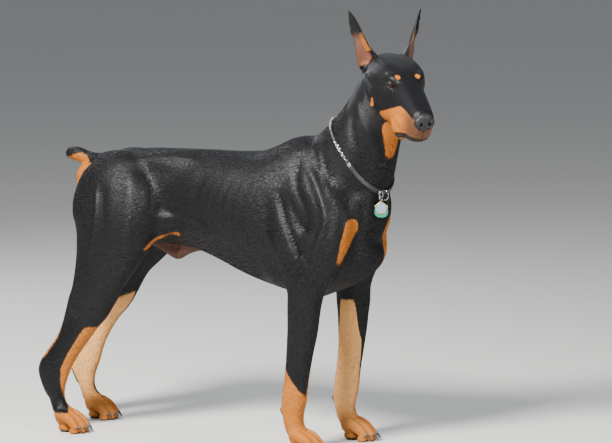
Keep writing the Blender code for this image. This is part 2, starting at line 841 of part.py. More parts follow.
def nose_forms():
    """The nose leather with its rounded wings, in the head's own frame."""
    x, y, z = NOSE_AT
    forms = [
        bulge((x, 0, z + 0.001), (0.0120, 0.0200, 0.0190)),
        bulge((x + 0.0025, 0, z + 0.0105), (0.0095, 0.0165, 0.0100)),
        bulge((x + 0.0030, 0, z - 0.0105), (0.0085, 0.0110, 0.0090)),
    ]
    forms += both(bulge((x + 0.0035, 0.0132, z + 0.0002), (0.0095, 0.0092, 0.0124)))
    return placed(forms, head_matrix())


def nostril_forms(side):
    """A nostril: a round hole with a slit that runs back and down from it."""
    x, y, z = NOSE_AT
    hole = bulge((x + 0.012, 0.0098 * side, z + 0.0005), (0.0100, 0.0036, 0.0046), (0, 0, 14 * side), 2)
    slit = bulge((x + 0.007, 0.0165 * side, z - 0.0030), (0.0075, 0.0065, 0.0016), (20 * side, 0, 40 * side), 2)
    return placed([hole, slit], head_matrix())


def tube(path, radius, sides=6):
    """A closed bmesh along points, round, with one radius or one for each point."""
    radii = radius if isinstance(radius, list) else [radius] * len(path)
    rows = [(*p, r, r, r) for p, r in zip(path, radii)]
    made = loft(rows, front=(0.13, 0.21, 0.97), steps=1, sides=sides)
    return made


def mouth_path(flesh_obj):
    """Points on the flesh along the line of the mouth, from one corner round to the other."""
    tree = surface_of(flesh_obj)
    matrix = head_matrix()
    # Rows of the left half: where the ray ends, the way it comes from, and its height
    rays = []
    for x, z in spline(MOUTH_LINE, 3):
        rays.append((Vector((x, 0, z)), Vector((0, 1, 0))))
    last_x, last_z = MOUTH_LINE[-1]
    for turn in (70, 50, 32, 15):
        out = Vector((math.cos(math.radians(turn)), math.sin(math.radians(turn)), 0))
        rays.append((Vector((last_x, 0, last_z + 0.003 * out.x)), out))
    front = (Vector((last_x, 0, last_z + 0.003)), Vector((1, 0, 0)))
    rest = [(Vector((at.x, 0, at.z)), Vector((out.x, -out.y, 0))) for at, out in reversed(rays)]
    points = []
    for at, out in rays + [front] + rest:
        hit = tree.ray_cast(matrix @ (at + out * 0.12), (matrix.to_3x3() @ -out).normalized(), 0.2)[0]
        if hit is not None:
            points.append(hit)
    return points


def philtrum_path(flesh_obj):
    """Points down the middle of the upper lip, under the nose."""
    tree = surface_of(flesh_obj)
    matrix = head_matrix()
    points = []
    for height in np.linspace(-0.030, -0.054, 5):
        start = matrix @ Vector((0.19, 0, height))
        hit = tree.ray_cast(start, (matrix.to_3x3() @ Vector((-1, 0, 0))).normalized(), 0.2)[0]
        if hit is not None:
            points.append(hit)
    return points


def collar_point(tree, turn):
    """A point of the collar's loop on the neck, at an angle from its lowest, and the way out of it."""
    across = COLLAR_LOW - COLLAR_HEART
    across = (across - COLLAR_NORMAL * across.dot(COLLAR_NORMAL)).normalized()
    around = COLLAR_NORMAL.cross(across)
    sag = COLLAR_SAG * math.exp(-((turn / math.radians(38)) ** 2))
    heart = COLLAR_HEART - COLLAR_NORMAL * sag
    out = across * math.cos(turn) + around * math.sin(turn)
    hit, face, _, _ = tree.ray_cast(heart + out * 0.30, -out, 0.4)
    smooth = (face * 3 + out).normalized()
    return hit, smooth


def collar_line(tree, first, last, count):
    """Points and outward directions along the collar between two angles, evened out."""
    turns = np.linspace(first, last, count)
    found = [collar_point(tree, turn) for turn in turns]
    outs = []
    for i in range(count):
        near_by = found[max(i - 2, 0) : i + 3]
        outs.append(sum((face for _, face in near_by), Vector()).normalized())
    return [(hit, out) for (hit, _), out in zip(found, outs)]


def strap_form(tree, first, last, count, wide, thick):
    """A flat band on the neck between two angles, as one closed loft."""
    line = collar_line(tree, first, last, count)
    loops = []
    for i, (at, out) in enumerate(line):
        along = (line[min(i + 1, count - 1)][0] - line[max(i - 1, 0)][0]).normalized()
        edge = out.cross(along).normalized()
        out = along.cross(edge).normalized()
        low, high = COLLAR_LIFT, COLLAR_LIFT + thick
        corners = (
            (-0.50, low),
            (0.50, low),
            (0.50, high - thick * 0.3),
            (0.38, high),
            (-0.38, high),
            (-0.50, high - thick * 0.3),
        )
        loops.append([at + edge * (wide * across) + out * lift for across, lift in corners])
    return loft_loops(loops)


def chain_form(tree, first, last, links):
    """The chain on the neck between two angles, as one closed body that swells at every link."""
    path, radii = [], []
    for i, (at, out) in enumerate(collar_line(tree, first, last, links * 2 + 1)):
        path.append(at + out * (CHAIN_RADIUS * 1.1 + COLLAR_LIFT))
        radii.append(CHAIN_RADIUS * (1.0 if i % 2 else 0.66))
    return tube(path, radii, sides=5)


def torus(name, at, axis, radius, wire, collection):
    """A plain wire ring about an axis."""
    bpy.ops.mesh.primitive_torus_add(
        major_segments=18, minor_segments=5, major_radius=radius, minor_radius=wire
    )
    obj = bpy.context.active_object
    turn = Vector(axis).to_track_quat("Z", "Y").to_matrix().to_4x4()
    obj.data.transform(Matrix.Translation(at) @ turn)
    for holder in list(obj.users_collection):
        holder.objects.unlink(obj)
    collection.objects.link(obj)
    obj.name = name
    return finish_mesh(obj)


def star_outline(points, outer, inner):
    """The corners of a star, as (across, up) pairs."""
    found = []
    for k in range(points * 2):
        turn = math.pi * k / points + math.pi / 2
        reach = outer if k % 2 == 0 else inner
        found.append((reach * math.cos(turn), reach * math.sin(turn)))
    return found


def rounded_outline(wide, tall, count=20):
    """The corners of a rounded tag, as (across, up) pairs."""
    found = []
    for k in range(count):
        turn = 2 * math.pi * k / count
        found.append((wide * power(math.cos(turn), 0.75), tall * power(math.sin(turn), 0.85)))
    return found


def plate(name, at, facing, outline, thick, collection):
    """A flat tag of an outline that hangs with its face along facing."""
    curve = bpy.data.curves.new(name, "CURVE")
    curve.dimensions = "2D"
    curve.fill_mode = "BOTH"
    curve.extrude = thick / 2
    edge = curve.splines.new("POLY")
    edge.points.add(len(outline) - 1)
    for point, (across, up) in zip(edge.points, outline):
        point.co = (across, up, 0, 1)
    edge.use_cyclic_u = True
    drawn = new_object(name + "_outline", curve, collection)
    graph = bpy.context.evaluated_depsgraph_get()
    mesh = bpy.data.meshes.new_from_object(drawn.evaluated_get(graph))
    bpy.data.objects.remove(drawn)
    facing = Vector(facing).normalized()
    across = Vector((0, 0, 1)).cross(facing).normalized()
    up = facing.cross(across)
    turn = Matrix((across, up, facing)).transposed().to_4x4()
    mesh.transform(Matrix.Translation(at) @ turn)
    return finish_mesh(new_object(name, mesh, collection))


def claw_forms(knuckle, tip):
    """One short, curved, tapering claw at the end of a toe."""
    x, y, z = tip
    grow = CLAW_LENGTH
    rows = [
        (x - 0.002, y, z + 0.0040, 0.0034, 0.0034, 0.0026),
        (x + grow * 0.38, y, z + 0.0038, 0.0034, 0.0034, 0.0026),
        (x + grow * 0.70, y, z + 0.0002, 0.0024, 0.0026, 0.0020),
        (x + grow * 0.92, y, z - 0.0060, 0.0010, 0.0010, 0.0009),
    ]
    return [loft(rows, front=(0, 0, 1), steps=1, sides=6)]


def union(name, forms, collection):
    """One closed body of forms that overlap."""
    parts = [joined(name + "_piece", [form], collection) for form in forms]
    base = parts[0]
    if len(parts) > 1:
        group = bpy.data.collections.new(name + "_pieces")
        bpy.context.scene.collection.children.link(group)
        for other in parts[1:]:
            collection.objects.unlink(other)
            group.objects.link(other)
        weld = base.modifiers.new("Weld together", "BOOLEAN")
        weld.operation = "UNION"
        weld.operand_type = "COLLECTION"
        weld.collection = group
        weld.solver = "EXACT"
        applied(base)
        for other in parts[1:]:
            bpy.data.objects.remove(other)
        bpy.data.collections.remove(group)
    base.name = name
    return finish_mesh(base)


def smooth_union(name, forms, voxel, triangles, collection):
    """A small soft body fused from forms, such as the nose."""
    obj = joined(name, forms, collection)
    skin = obj.modifiers.new("One skin", "REMESH")
    skin.mode = "VOXEL"
    skin.voxel_size = voxel
    soft = obj.modifiers.new("Soft creases", "SMOOTH")
    soft.factor = 0.5
    soft.iterations = 5
    applied(obj)
    count = sum(len(p.vertices) - 2 for p in obj.data.polygons)
    fewer = obj.modifiers.new("Fewer faces", "DECIMATE")
    fewer.ratio = min(1.0, triangles / count)
    fewer.use_collapse_triangulate = True
    applied(obj)
    return finish_mesh(obj)


def build_head(body, dog):
    """Parts off the head, then gives it eyes, lids, nose, nostrils, mouth and ears."""
    lips = union("lips", [tube(mouth_path(body), 0.0013), tube(philtrum_path(body), 0.0010)], dog)
    head = parted(body, "head", (0.385, 0.002, 0.775), (0.36, 0.0, 0.93), 0.6, dog)
    nose = smooth_union("nose", nose_forms(), 0.0011, 420, dog)
    clear_of(head, nose)
    cut(head, lips)
    bpy.data.objects.remove(lips)
    for side in (-1, 1):
        hole = union("nostril", nostril_forms(side), dog)
        cut(nose, hole)
        bpy.data.objects.remove(hole)
    ears = []
    for side, word in ((1, "left"), (-1, "right")):
        eye = joined("eye_" + word, eye_forms(side), dog)
        opening = joined("fissure", fissure(side), dog)
        cut(head, opening)
        clear_of(head, eye)
        bpy.data.objects.remove(opening)
        ear = joined("ear_" + word, ear_forms(side), dog)
        finish_mesh(ear)
        ears.append(ear)
    for ear in ears:
        clear_of(ear, head)


def build_collar(surface, neck, dog):
    """The strap, the chain over the nape, their clamps, the rings and the two tags."""
    step = math.radians(1.0)
    strap = strap_form(surface, CLAMP_RIGHT, CLAMP_LEFT, 25, STRAP_WIDTH, STRAP_THICKNESS)
    chain = chain_form(surface, CLAMP_LEFT + 6.4 * step, 2 * math.pi + CLAMP_RIGHT - 6.4 * step, 34)
    right = strap_form(
        surface, CLAMP_RIGHT - 4.6 * step, CLAMP_RIGHT - 0.3 * step, 4, STRAP_WIDTH * 0.9, STRAP_THICKNESS * 1.4
    )
    left = strap_form(
        surface, CLAMP_LEFT + 0.3 * step, CLAMP_LEFT + 4.6 * step, 4, STRAP_WIDTH * 0.9, STRAP_THICKNESS * 1.4
    )
    made = (("strap", strap), ("chain", chain), ("clamp_right", right), ("clamp_left", left))
    for word, form in made:
        clear_of(neck, finish_mesh(joined("collar_" + word, [form], dog)))

    low, out = collar_point(surface, 0.0)
    out = Vector((out.x, out.y, 0)).normalized()
    up = Vector((0, 0, 1))
    side = up.cross(out)

    def spot(ahead, left, above):
        return low + out * ahead + side * left + up * above

    # The dee stands out of the strap, and the others hang on its outer bar
    hang = COLLAR_LIFT + STRAP_THICKNESS + 0.0008 + WIRE + DEE_RADIUS
    bar_out = hang + DEE_RADIUS
    torus("ring_dee", spot(hang, 0, -0.0010), up, DEE_RADIUS, WIRE, dog)
    drop = SPLIT_RADIUS - 2 * WIRE - 0.0006
    split_at = (hang + math.sqrt(DEE_RADIUS**2 - 0.0012**2), -0.0012, -0.0010 - drop)
    torus("ring_split", spot(*split_at), side, SPLIT_RADIUS, WIRE, dog)
    facing = (out * 0.342 - side * 0.940).normalized()
    sideways = up.cross(facing)
    reach = ROUND_RADIUS - 2 * WIRE - 0.0006
    along_bar = 0.0036
    hook = spot(hang + math.sqrt(DEE_RADIUS**2 - along_bar**2), along_bar, -0.0010)
    round_at = hook + sideways * (reach * 0.500) - up * (reach * 0.866)
    torus("ring_round", round_at, facing, ROUND_RADIUS, WIRE, dog)
    small_low = split_at[2] - SPLIT_RADIUS - (SMALL_RADIUS - 2 * WIRE - 0.0005)
    torus("ring_small", spot(split_at[0], -0.0012, small_low), out, SMALL_RADIUS, WIRE * 0.8, dog)
    tag_top = small_low - SMALL_RADIUS - WIRE - 0.0003
    facing = (out - side * 0.75).normalized()
    star_at = spot(bar_out + 0.0010, -0.0012, tag_top - STAR_OUTER)
    star = plate("tag_star", star_at, facing, star_outline(5, STAR_OUTER, STAR_INNER), TAG_THICKNESS, dog)
    disc_outline = rounded_outline(DISC_RADIUS, DISC_RADIUS, 24)
    disc = plate("disc", star_at + facing * TAG_THICKNESS * 0.6, facing, disc_outline, TAG_THICKNESS, dog)
    cut(star, disc, "UNION")
    bpy.data.objects.remove(disc)
    back_at = star_at - facing * (TAG_THICKNESS + 0.0005) - up * 0.0070
    outline = rounded_outline(BACK_TAG_WIDTH, BACK_TAG_HEIGHT)
    plate("tag_back", back_at, facing, outline, TAG_THICKNESS, dog)


def colours():
    """Colour, roughness and metalness of a node, by the start of its name."""
    black, tan = (0.020, 0.019, 0.021), (0.46, 0.20, 0.07)
    return (
        ("eye_", (0.060, 0.020, 0.009), 0.15, 0.0),
        ("nose", (0.018, 0.016, 0.018), 0.45, 0.0),
        ("claw_", (0.025, 0.022, 0.020), 0.40, 0.0),
        ("paw_", tan, 0.65, 0.0),
        ("collar_strap", (0.030, 0.042, 0.036), 0.60, 0.0),
        ("collar_chain", (0.75, 0.76, 0.78), 0.18, 1.0),
        ("collar_clamp", (0.75, 0.76, 0.78), 0.22, 1.0),
        ("ring_", (0.78, 0.78, 0.80), 0.16, 1.0),
        ("tag_star", (0.60, 0.66, 0.76), 0.35, 0.4),
        ("tag_back", (0.01, 0.38, 0.26), 0.35, 0.2),
        ("", black, 0.50, 0.0),
    )


def build_legs(body, dog):
    """Parts the legs and paws off the body, and gives every toe its claw."""
    for side, word in ((1, "left"), (-1, "right")):
        fore, hind = (FAR_FORE, FAR_HIND) if side > 0 else (0.0, 0.0)
        plan = (
            ("front", arm_outline(fore), 0.050, fore_paw_at(side, fore), 0.064, PAW_LENGTH),
            ("hind", thigh_outline(), 0.034, hind_paw_at(side, hind), 0.060, PAW_LENGTH * 0.94),
        )
        for end, outline, inner, paw, ankle, length in plan:
            low, high = sorted((side * inner, side * 0.24))
            low_out, high_out = sorted((side * (inner - GAP), side * 0.26))
            keep = prism(outline, low, high)
            clear = prism(outline, low_out, high_out, GAP * 1.2)
            leg = taken(body, f"leg_{end}_{word}", keep, clear, dog)
            foot = parted(leg, f"paw_{end}_{word}", (paw[0], paw[1], ankle), (0, 0, -1), 0.22, dog)
            for number, (_, knuckle, tip) in enumerate(toes(paw, length)):
                claw = joined(f"claw_{end}_{word}_{number + 1}", claw_forms(knuckle, tip), dog)
                clear_of(claw, foot)


def build():
    """Makes every node, with the origin on the floor under the middle of the model's box."""
    clear_scene()
    dog = new_collection("Doberman")
    forms = torso_forms() + neck_forms() + tail_forms()
    forms += foreleg_forms(-1) + foreleg_forms(1, FAR_FORE)
    forms += hindleg_forms(-1, 0.0, 0.0) + hindleg_forms(1, FAR_KNEE, FAR_HIND)
    forms += head_forms()
    body = flesh(forms, dog)
    floor = joined("floor", [slab((0, 0, 0), (0, 0, -1), 3.0, 0.2)], dog)
    cut(body, floor)
    bpy.data.objects.remove(floor)
    surface = surface_of(body)
    build_head(body, dog)
    neck = parted(body, "neck", (0.318, 0, 0.640), (0.64, 0, 0.77), 0.6, dog)
    parted(body, "tail", (-0.350, 0, 0.654), (-1, 0, 0.0), 0.060, dog)
    build_legs(body, dog)
    body.name = "torso"
    build_collar(surface, neck, dog)

    places = np.vstack([vertex_places(obj) for obj in dog.objects])
    low, high = places.min(axis=0), places.max(axis=0)
    home = Matrix.Translation((-(low[0] + high[0]) / 2, -(low[1] + high[1]) / 2, -low[2]))
    for obj in dog.objects:
        obj.data.transform(home)
        obj.data.name = obj.name
        colour, roughness, metallic = next(row[1:] for row in colours() if obj.name.startswith(row[0]))
        obj.data.materials.clear()
        obj.data.materials.append(material(obj.name, colour, roughness, metallic))
    print("size", (high - low).round(4), "shift", np.array(home.translation).round(4))


build()
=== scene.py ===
"""Looks of a life-size standing Doberman pinscher: skin, short coat, eyes, nose, claws, collar and tags.

Metres, +Z up, +X towards the chest, +Y the dog's left. Shapes are made in the dog's own frame, whose
middle line is y = 0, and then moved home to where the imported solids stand.
"""

import math

import bmesh
import bpy
import numpy as np
from mathutils import Matrix, Vector
from mathutils.bvhtree import BVHTree


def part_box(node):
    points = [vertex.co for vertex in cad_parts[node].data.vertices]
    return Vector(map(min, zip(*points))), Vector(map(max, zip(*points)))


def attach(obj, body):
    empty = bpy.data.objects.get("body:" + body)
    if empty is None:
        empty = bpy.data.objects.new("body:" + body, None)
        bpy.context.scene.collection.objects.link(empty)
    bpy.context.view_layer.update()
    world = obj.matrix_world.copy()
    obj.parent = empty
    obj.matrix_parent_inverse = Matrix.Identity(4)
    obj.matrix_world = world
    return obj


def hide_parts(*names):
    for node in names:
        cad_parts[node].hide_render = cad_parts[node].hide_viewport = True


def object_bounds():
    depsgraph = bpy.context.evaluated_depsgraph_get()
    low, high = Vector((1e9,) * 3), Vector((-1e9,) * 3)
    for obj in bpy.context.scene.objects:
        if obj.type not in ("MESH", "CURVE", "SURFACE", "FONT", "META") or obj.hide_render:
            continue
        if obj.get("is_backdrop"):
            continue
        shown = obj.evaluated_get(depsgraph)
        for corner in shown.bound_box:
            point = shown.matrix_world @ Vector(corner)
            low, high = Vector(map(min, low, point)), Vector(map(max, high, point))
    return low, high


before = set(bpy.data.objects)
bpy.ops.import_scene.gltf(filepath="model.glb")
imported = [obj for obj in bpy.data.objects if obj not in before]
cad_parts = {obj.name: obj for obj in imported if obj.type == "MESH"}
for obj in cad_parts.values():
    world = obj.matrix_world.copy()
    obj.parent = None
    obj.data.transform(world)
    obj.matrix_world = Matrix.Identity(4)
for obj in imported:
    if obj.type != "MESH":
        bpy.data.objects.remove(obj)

bl_info = {
    "name": "Doberman pinscher",
    "version": (1, 0, 0),
    "blender": (4, 5, 0),
    "location": "3D View > Sidebar > Doberman",
    "description": "Skin, short coat, eyes, nose, claws, collar and studio for the standing dog",
    "category": "Object",
}

BODY = "root"

# The least radius that a loft may have
THINNEST = 0.0004

# Head: its own frame has x along the bridge towards the nose, y to the dog's left, z up,
# and its origin midway between the eyes
HEAD_AT = Vector((0.4838, -0.070, 0.8477))
HEAD_YAW = math.radians(-46.5)
HEAD_PITCH = math.radians(27.0)
HEAD_ROLL = math.radians(1.0)
HEAD_SIZE = 1.05

EYE_RADIUS = 0.0118
EYE_AT = Vector((-0.0041, 0.0298, 0.0008))
EYE_OUTWARD = math.radians(26.0)
LID_RADIUS = 0.0140
FISSURE_LENGTH = 0.0215
FISSURE_HEIGHT = 0.0105
HALF_LENGTH = FISSURE_LENGTH / 2
HALF_HEIGHT = FISSURE_HEIGHT / 2
LID_SLANT = 0.0012
LID_THICK = 0.0012

EAR_BASE = Vector((-0.1105, 0.0495, -0.0200))
EAR_TIP = Vector((-0.180, 0.082, 0.083))
EAR_OUTWARD = math.radians(50.0)
EAR_LEATHER = 0.0036

NOSE_AT = Vector((0.1300, 0, -0.0130))

# The line of the mouth seen from the side, from its corner forwards: (x, z) in the head's frame
MOUTH_LINE = ((0.030, -0.0915), (0.050, -0.0870), (0.070, -0.0770), (0.090, -0.0655), (0.108, -0.0570))

# Depths and heights on the face
MOUTH_DEPTH = 0.0032
LIP_RIDGE = 0.0008
PHILTRUM_DEPTH = 0.0016
NOSE_SWELL = 0.0016

# Legs: how far they stand from the middle, and how far the far ones are shifted along x
FORE_SPREAD = 0.100
HIND_SPREAD = 0.095
FAR_FORE = 0.040
FAR_KNEE = -0.044
FAR_HIND = -0.024
PAW_LENGTH = 0.050
HIND_PAW_LENGTH = PAW_LENGTH * 0.94
CLAW_LENGTH = 0.017

# Collar: the middle of its loop, its lowest point, where it sags by a little, and its normal
COLLAR_HEART = Vector((0.338, 0.0, 0.699))
COLLAR_LOW = Vector((0.402, -0.037, 0.601))
COLLAR_NORMAL = Vector((0.753, -0.164, 0.637)).normalized()
COLLAR_SAG = 0.007
CLAMP_RIGHT = math.radians(-45.0)
CLAMP_LEFT = math.radians(60.0)
COLLAR_LIFT = 0.0009
STRAP_WIDTH = 0.0105
STRAP_THICKNESS = 0.0030

# Rings and tags under the lowest point of the collar
WIRE = 0.0009
DEE_RADIUS = 0.0046
SPLIT_RADIUS = 0.0077
ROUND_RADIUS = 0.0116
SMALL_RADIUS = 0.0042
RING_SLACK = 0.0006
DEE_HEIGHT = -0.0010
HUNG_ASIDE = -0.0012
STAR_OUTER = 0.0172
STAR_INNER = 0.0126
DISC_RADIUS = 0.0107
BACK_TAG_WIDTH = 0.0155
BACK_TAG_HEIGHT = 0.0140
TAG_THICKNESS = 0.0012

# The camera: where it looks, from which side, how high and how far, in the dog's own frame
VIEW_HEART = Vector((0.206, 0.0, 0.520))
VIEW_TURN = math.radians(25.0)
VIEW_RISE = math.radians(6.5)
VIEW_DISTANCE = 7.0
PICTURE_WIDTH = 612
FOCAL_PIXELS = 3038
SENSOR = 36.0


def length_property(name, description, default, precision=2):
    """A length that a user can change."""
    return bpy.props.FloatProperty(
        name=name, description=description, default=default, unit="LENGTH", precision=precision
    )


class DobermanSizes(bpy.types.PropertyGroup):
    """Sizes of the skin, the coat and the small parts."""

    voxel: length_property("Skin grain", "Size of the skin's cells", 0.0022, 4)
    coat_depth: length_property("Coat depth", "How far the skin lies inside the coat", 0.0009)
    tuft_length: length_property("Tuft length", "Length of a tuft on the trunk", 0.0105)
    tuft_width: length_property("Tuft width", "Width of a tuft at its root", 0.0011)
    tufts_dense: bpy.props.FloatProperty(
        name="Tufts", description="Tufts for each square metre of the trunk", default=110000.0
    )
    iris: length_property("Iris", "Radius of the iris on the eyeball", 0.0074)
    pupil: length_property("Pupil", "Radius of the pupil on the eyeball", 0.0028)
    link: length_property("Chain link", "Length of one link of the chain", 0.0090)
    link_wire: length_property("Link wire", "Radius of the wire of a link", 0.00085)


def colour_property(name, description, default):
    """A colour that a user can change."""
    return bpy.props.FloatVectorProperty(
        name=name, description=description, default=default, size=3, min=0.0, max=1.0, subtype="COLOR"
    )


class DobermanColours(bpy.types.PropertyGroup):
    """Colours of the coat, the leather, the eyes and the metal."""

    black: colour_property("Black coat", "The black hair", (0.0024, 0.0024, 0.0029))
    # Blue-grey specks painted into the black hair stand for its sheen, a painted highlight; the dusk on the
    # tan is mixed towards the same colour
    bloom: colour_property("Bloom", "Blue-grey specks in the black hair", (0.011, 0.012, 0.016))
    rust: colour_property("Rust", "The deep tan of the muzzle and breast", (0.360, 0.108, 0.008))
    sand: colour_property("Sand", "The paler tan inside the legs", (0.640, 0.335, 0.115))
    bare: colour_property("Bare skin", "Lips, lids and pads", (0.0090, 0.0075, 0.0080))
    pink: colour_property("Pink skin", "Thinly haired skin in the ears and groin", (0.220, 0.085, 0.052))
    nose: colour_property("Nose leather", "The nose", (0.0085, 0.0078, 0.0088))
    iris: colour_property("Iris", "The brown of the eyes", (0.030, 0.0078, 0.0032))
    claw: colour_property("Claws", "Dark horn", (0.020, 0.017, 0.015))
    strap: colour_property("Strap", "Greenish black webbing", (0.0045, 0.0068, 0.0056))
    steel: colour_property("Steel", "Chain, clamps and rings", (0.420, 0.425, 0.440))
    disc: colour_property("Star tag", "Pale blue face of the star tag", (0.210, 0.280, 0.430))
    gold: colour_property("Star points", "Yellow metal of the star's points", (0.780, 0.600, 0.300))
    green: colour_property("Green tag", "Green coating of the tag behind", (0.0006, 0.190, 0.120))
    floor: colour_property("Floor", "The studio's floor", (0.600, 0.600, 0.590))


def home():
    """From the dog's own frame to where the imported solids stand."""
    low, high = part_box("eye_left")
    return Matrix.Translation((Vector(low) + Vector(high)) / 2 - head_matrix() @ EYE_AT)


def new_object(name, mesh):
    """An object of that mesh, in the scene."""
    obj = bpy.data.objects.new(name, mesh)
    bpy.context.scene.collection.objects.link(obj)
    return obj


def finished(obj, slot, materials, *nodes):
    """Moves a piece home, gives it its materials and lets it stand for the solids it replaces."""
    obj.data.transform(home())
    obj.data.materials.clear()
    for made in materials:
        obj.data.materials.append(made)
    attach(obj, BODY)
    if nodes:
        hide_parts(*nodes)
    return obj


def in_metres(rows):
    """Nested rows of millimetres, in metres."""
    if isinstance(rows, tuple):
        return tuple(in_metres(row) for row in rows)
    return rows / 1000


def spline(rows, steps):
    """Rows of numbers joined by a smooth curve through them, with steps rows for each stretch."""
    rows = np.array(rows, float)
    padded = np.vstack([2 * rows[0] - rows[1], rows, 2 * rows[-1] - rows[-2]])
    found = []
    for i in range(len(rows) - 1):
        a, b, c, d = padded[i : i + 4]
        for t in np.arange(steps) / steps:
            bend = (2 * a - 5 * b + 4 * c - d) * t * t
            turn = (3 * b - a - 3 * c + d) * t**3
            found.append(0.5 * (2 * b + (c - a) * t + bend + turn))
    found.append(rows[-1])
    return np.array(found)


def power(value, exponent):
    """A signed power, which squares or pinches a round section."""
    return math.copysign(abs(value) ** exponent, value)


def turns_round(count):
    """Angles that share a full turn evenly."""
    return [2 * math.pi * k / count for k in range(count)]


def bridge(made, rings):
    """Joins each ring of a bmesh's vertices to the next by faces."""
    count = len(rings[0])
    for low, high in zip(rings, rings[1:]):
        for k in range(count):
            made.faces.new((low[k], low[(k + 1) % count], high[(k + 1) % count], high[k]))


def loft_loops(loops):
    """A closed bmesh through loops of the same number of points, capped at both ends."""
    made = bmesh.new()
    rings = [[made.verts.new(p) for p in loop] for loop in loops]
    bridge(made, rings)
    made.faces.new(rings[0][::-1])
    made.faces.new(rings[-1])
    bmesh.ops.recalc_face_normals(made, faces=made.faces)
    return made


def loft(stations, front=(1, 0, 0), steps=4, sides=24, square=1.0, cap=0.5):
    """A closed bmesh along stations of (x, y, z, front radius, back radius, side radius).

    front is the way that the front radius points. square under 1 makes fuller, boxier sections.
    """
    rows = spline(stations, steps)
    rows[:, 3:] = np.maximum(rows[:, 3:], THINNEST)
    points = [Vector(r[:3]) for r in rows]
    made = bmesh.new()
    rings = []
    last = len(points) - 1
    for i, at in enumerate(points):
        along = (points[min(i + 1, last)] - points[max(i - 1, 0)]).normalized()
        side = along.cross(Vector(front)).normalized()
        fore = side.cross(along).normalized()
        r_front, r_back, r_side = rows[i][3:6]
        ring = []
        for turn in turns_round(sides):
            c, s = power(math.cos(turn), square), power(math.sin(turn), square)
            reach = r_front if c > 0 else r_back
            ring.append(made.verts.new(at + fore * (reach * c) + side * (r_side * s)))
        rings.append(ring)
    bridge(made, rings)
    for ring, inner, at in ((rings[0], 1, 0), (rings[-1], last - 1, last)):
        out = (points[at] - points[inner]).normalized()
        tip = made.verts.new(points[at] + out * float(min(rows[at][3:6])) * cap)
        for k in range(sides):
            made.faces.new((ring[k], ring[(k + 1) % sides], tip))
    bmesh.ops.recalc_face_normals(made, faces=made.faces)
    return made


def bar(stations, front=(0, 0, 1), **shape):
    """A loft whose stations give a top and a bottom: (x, y, top, bottom, side radius)."""
    rows = [(x, y, (t + b) / 2, (t - b) / 2, (t - b) / 2, side) for x, y, t, b, side in stations]
    return loft(rows, front=front, **shape)


def limb(stations, **shape):
    """A loft down a leg by its outline: (z, front x, rear x, y, side radius, shift along x)."""
    rows = []
    for z, ahead, behind, y, side, shift in stations:
        half = (ahead - behind) / 2
        rows.append(((ahead + behind) / 2 + shift, y, z, half, half, side))
    return loft(rows, **shape)


def bulge(at, radii, turn=(0, 0, 0), detail=3):
    """A closed bmesh of an ellipsoid, turned by degrees about x, y and z."""
    made = bmesh.new()
    bmesh.ops.create_icosphere(made, subdivisions=detail, radius=1.0)
    spin = Matrix.Rotation(math.radians(turn[2]), 4, "Z")
    spin @= Matrix.Rotation(math.radians(turn[1]), 4, "Y")
    spin @= Matrix.Rotation(math.radians(turn[0]), 4, "X")
    size = Matrix.Diagonal((*radii, 1.0))
    bmesh.ops.transform(made, matrix=Matrix.Translation(at) @ spin @ size, verts=made.verts)
    return made


def mirrored(made):
    """A copy of a bmesh on the other side of the middle."""
    copy = made.copy()
    bmesh.ops.transform(copy, matrix=Matrix.Diagonal((1, -1, 1, 1)), verts=copy.verts)
    bmesh.ops.reverse_faces(copy, faces=copy.faces)
    return copy


def both(made):
    """A form and its mirror image."""
    return [made, mirrored(made)]


def bulges(rows):
    """Bulges from rows of (place, radii, turn); those off the middle are made on both sides."""
    forms = []
    for row in rows:
        made = bulge(*row)
        forms += both(made) if row[0][1] else [made]
    return forms


def placed(forms, matrix):
    """The same forms, moved by a matrix."""
    for made in forms:
        bmesh.ops.transform(made, matrix=matrix, verts=made.verts)
    return forms


# Stations of the trunk: (x, y, top, bottom, side radius); the other tables are as loft() reads them
TRUNK = in_metres((
    (-352, 0, 626, 545, 36),
    (-330, 0, 653, 505, 62),
    (-290, 0, 668, 485, 80),
    (-240, 0, 675, 468, 86),
    (-180, 0, 678, 458, 83),
    (-110, 0, 679, 452, 84),
    (-40, 0, 680, 438, 97),
    (30, 0, 681, 414, 110),
    (100, 0, 688, 383, 116),
    (160, 0, 705, 360, 114),
    (220, 0, 722, 346, 106),
    (280, 0, 700, 342, 100),
    (318, 0, 650, 388, 92),
    (356, 0, 625, 462, 76),
    (394, 0, 602, 515, 48),
))
SHOULDER = in_metres((
    (178, 36, 690, 46, 46, 18),
    (215, 64, 640, 58, 58, 26),
    (262, 82, 585, 62, 62, 32),
    (302, 90, 530, 60, 60, 36),
    (300, 94, 470, 54, 58, 37),
    (288, 96, 410, 45, 52, 36),
))
UPPER_ARM = in_metres((
    (190, 78, 590, 52, 46, 24),
    (205, 93, 520, 58, 50, 30),
    (222, 101, 455, 52, 44, 31),
    (236, 102, 400, 38, 36, 28),
))
SHEATH_FORM = in_metres((
    (-205, 0, 462, 16, 16, 16),
    (-160, 0, 446, 18, 17, 17),
    (-125, 0, 434, 19, 24, 17),
    (-103, 0, 438, 18, 14, 15),
    (-60, 0, 446, 12, 8, 12),
))
# Bulges of the trunk: place, radii and turn
TRUNK_BULGES = (
    # Breast muscle of each side and the point of the breastbone between them
    ((0.328, 0.052, 0.500), (0.036, 0.044, 0.074), (0, 20, 0)),
    ((0.364, 0.036, 0.566), (0.038, 0.046, 0.062), (0, -6, 0)),
    # Loin and croup
    ((-0.130, 0.036, 0.636), (0.150, 0.036, 0.040)),
    ((-0.240, 0.046, 0.628), (0.090, 0.044, 0.044), (0, 8, 0)),
    ((-0.358, 0, 0.592), (0.037, 0.040, 0.048)),
    # Web of skin from the flank to the stifle
    ((-0.156, 0.072, 0.512), (0.070, 0.020, 0.052), (0, -28, 0)),
)


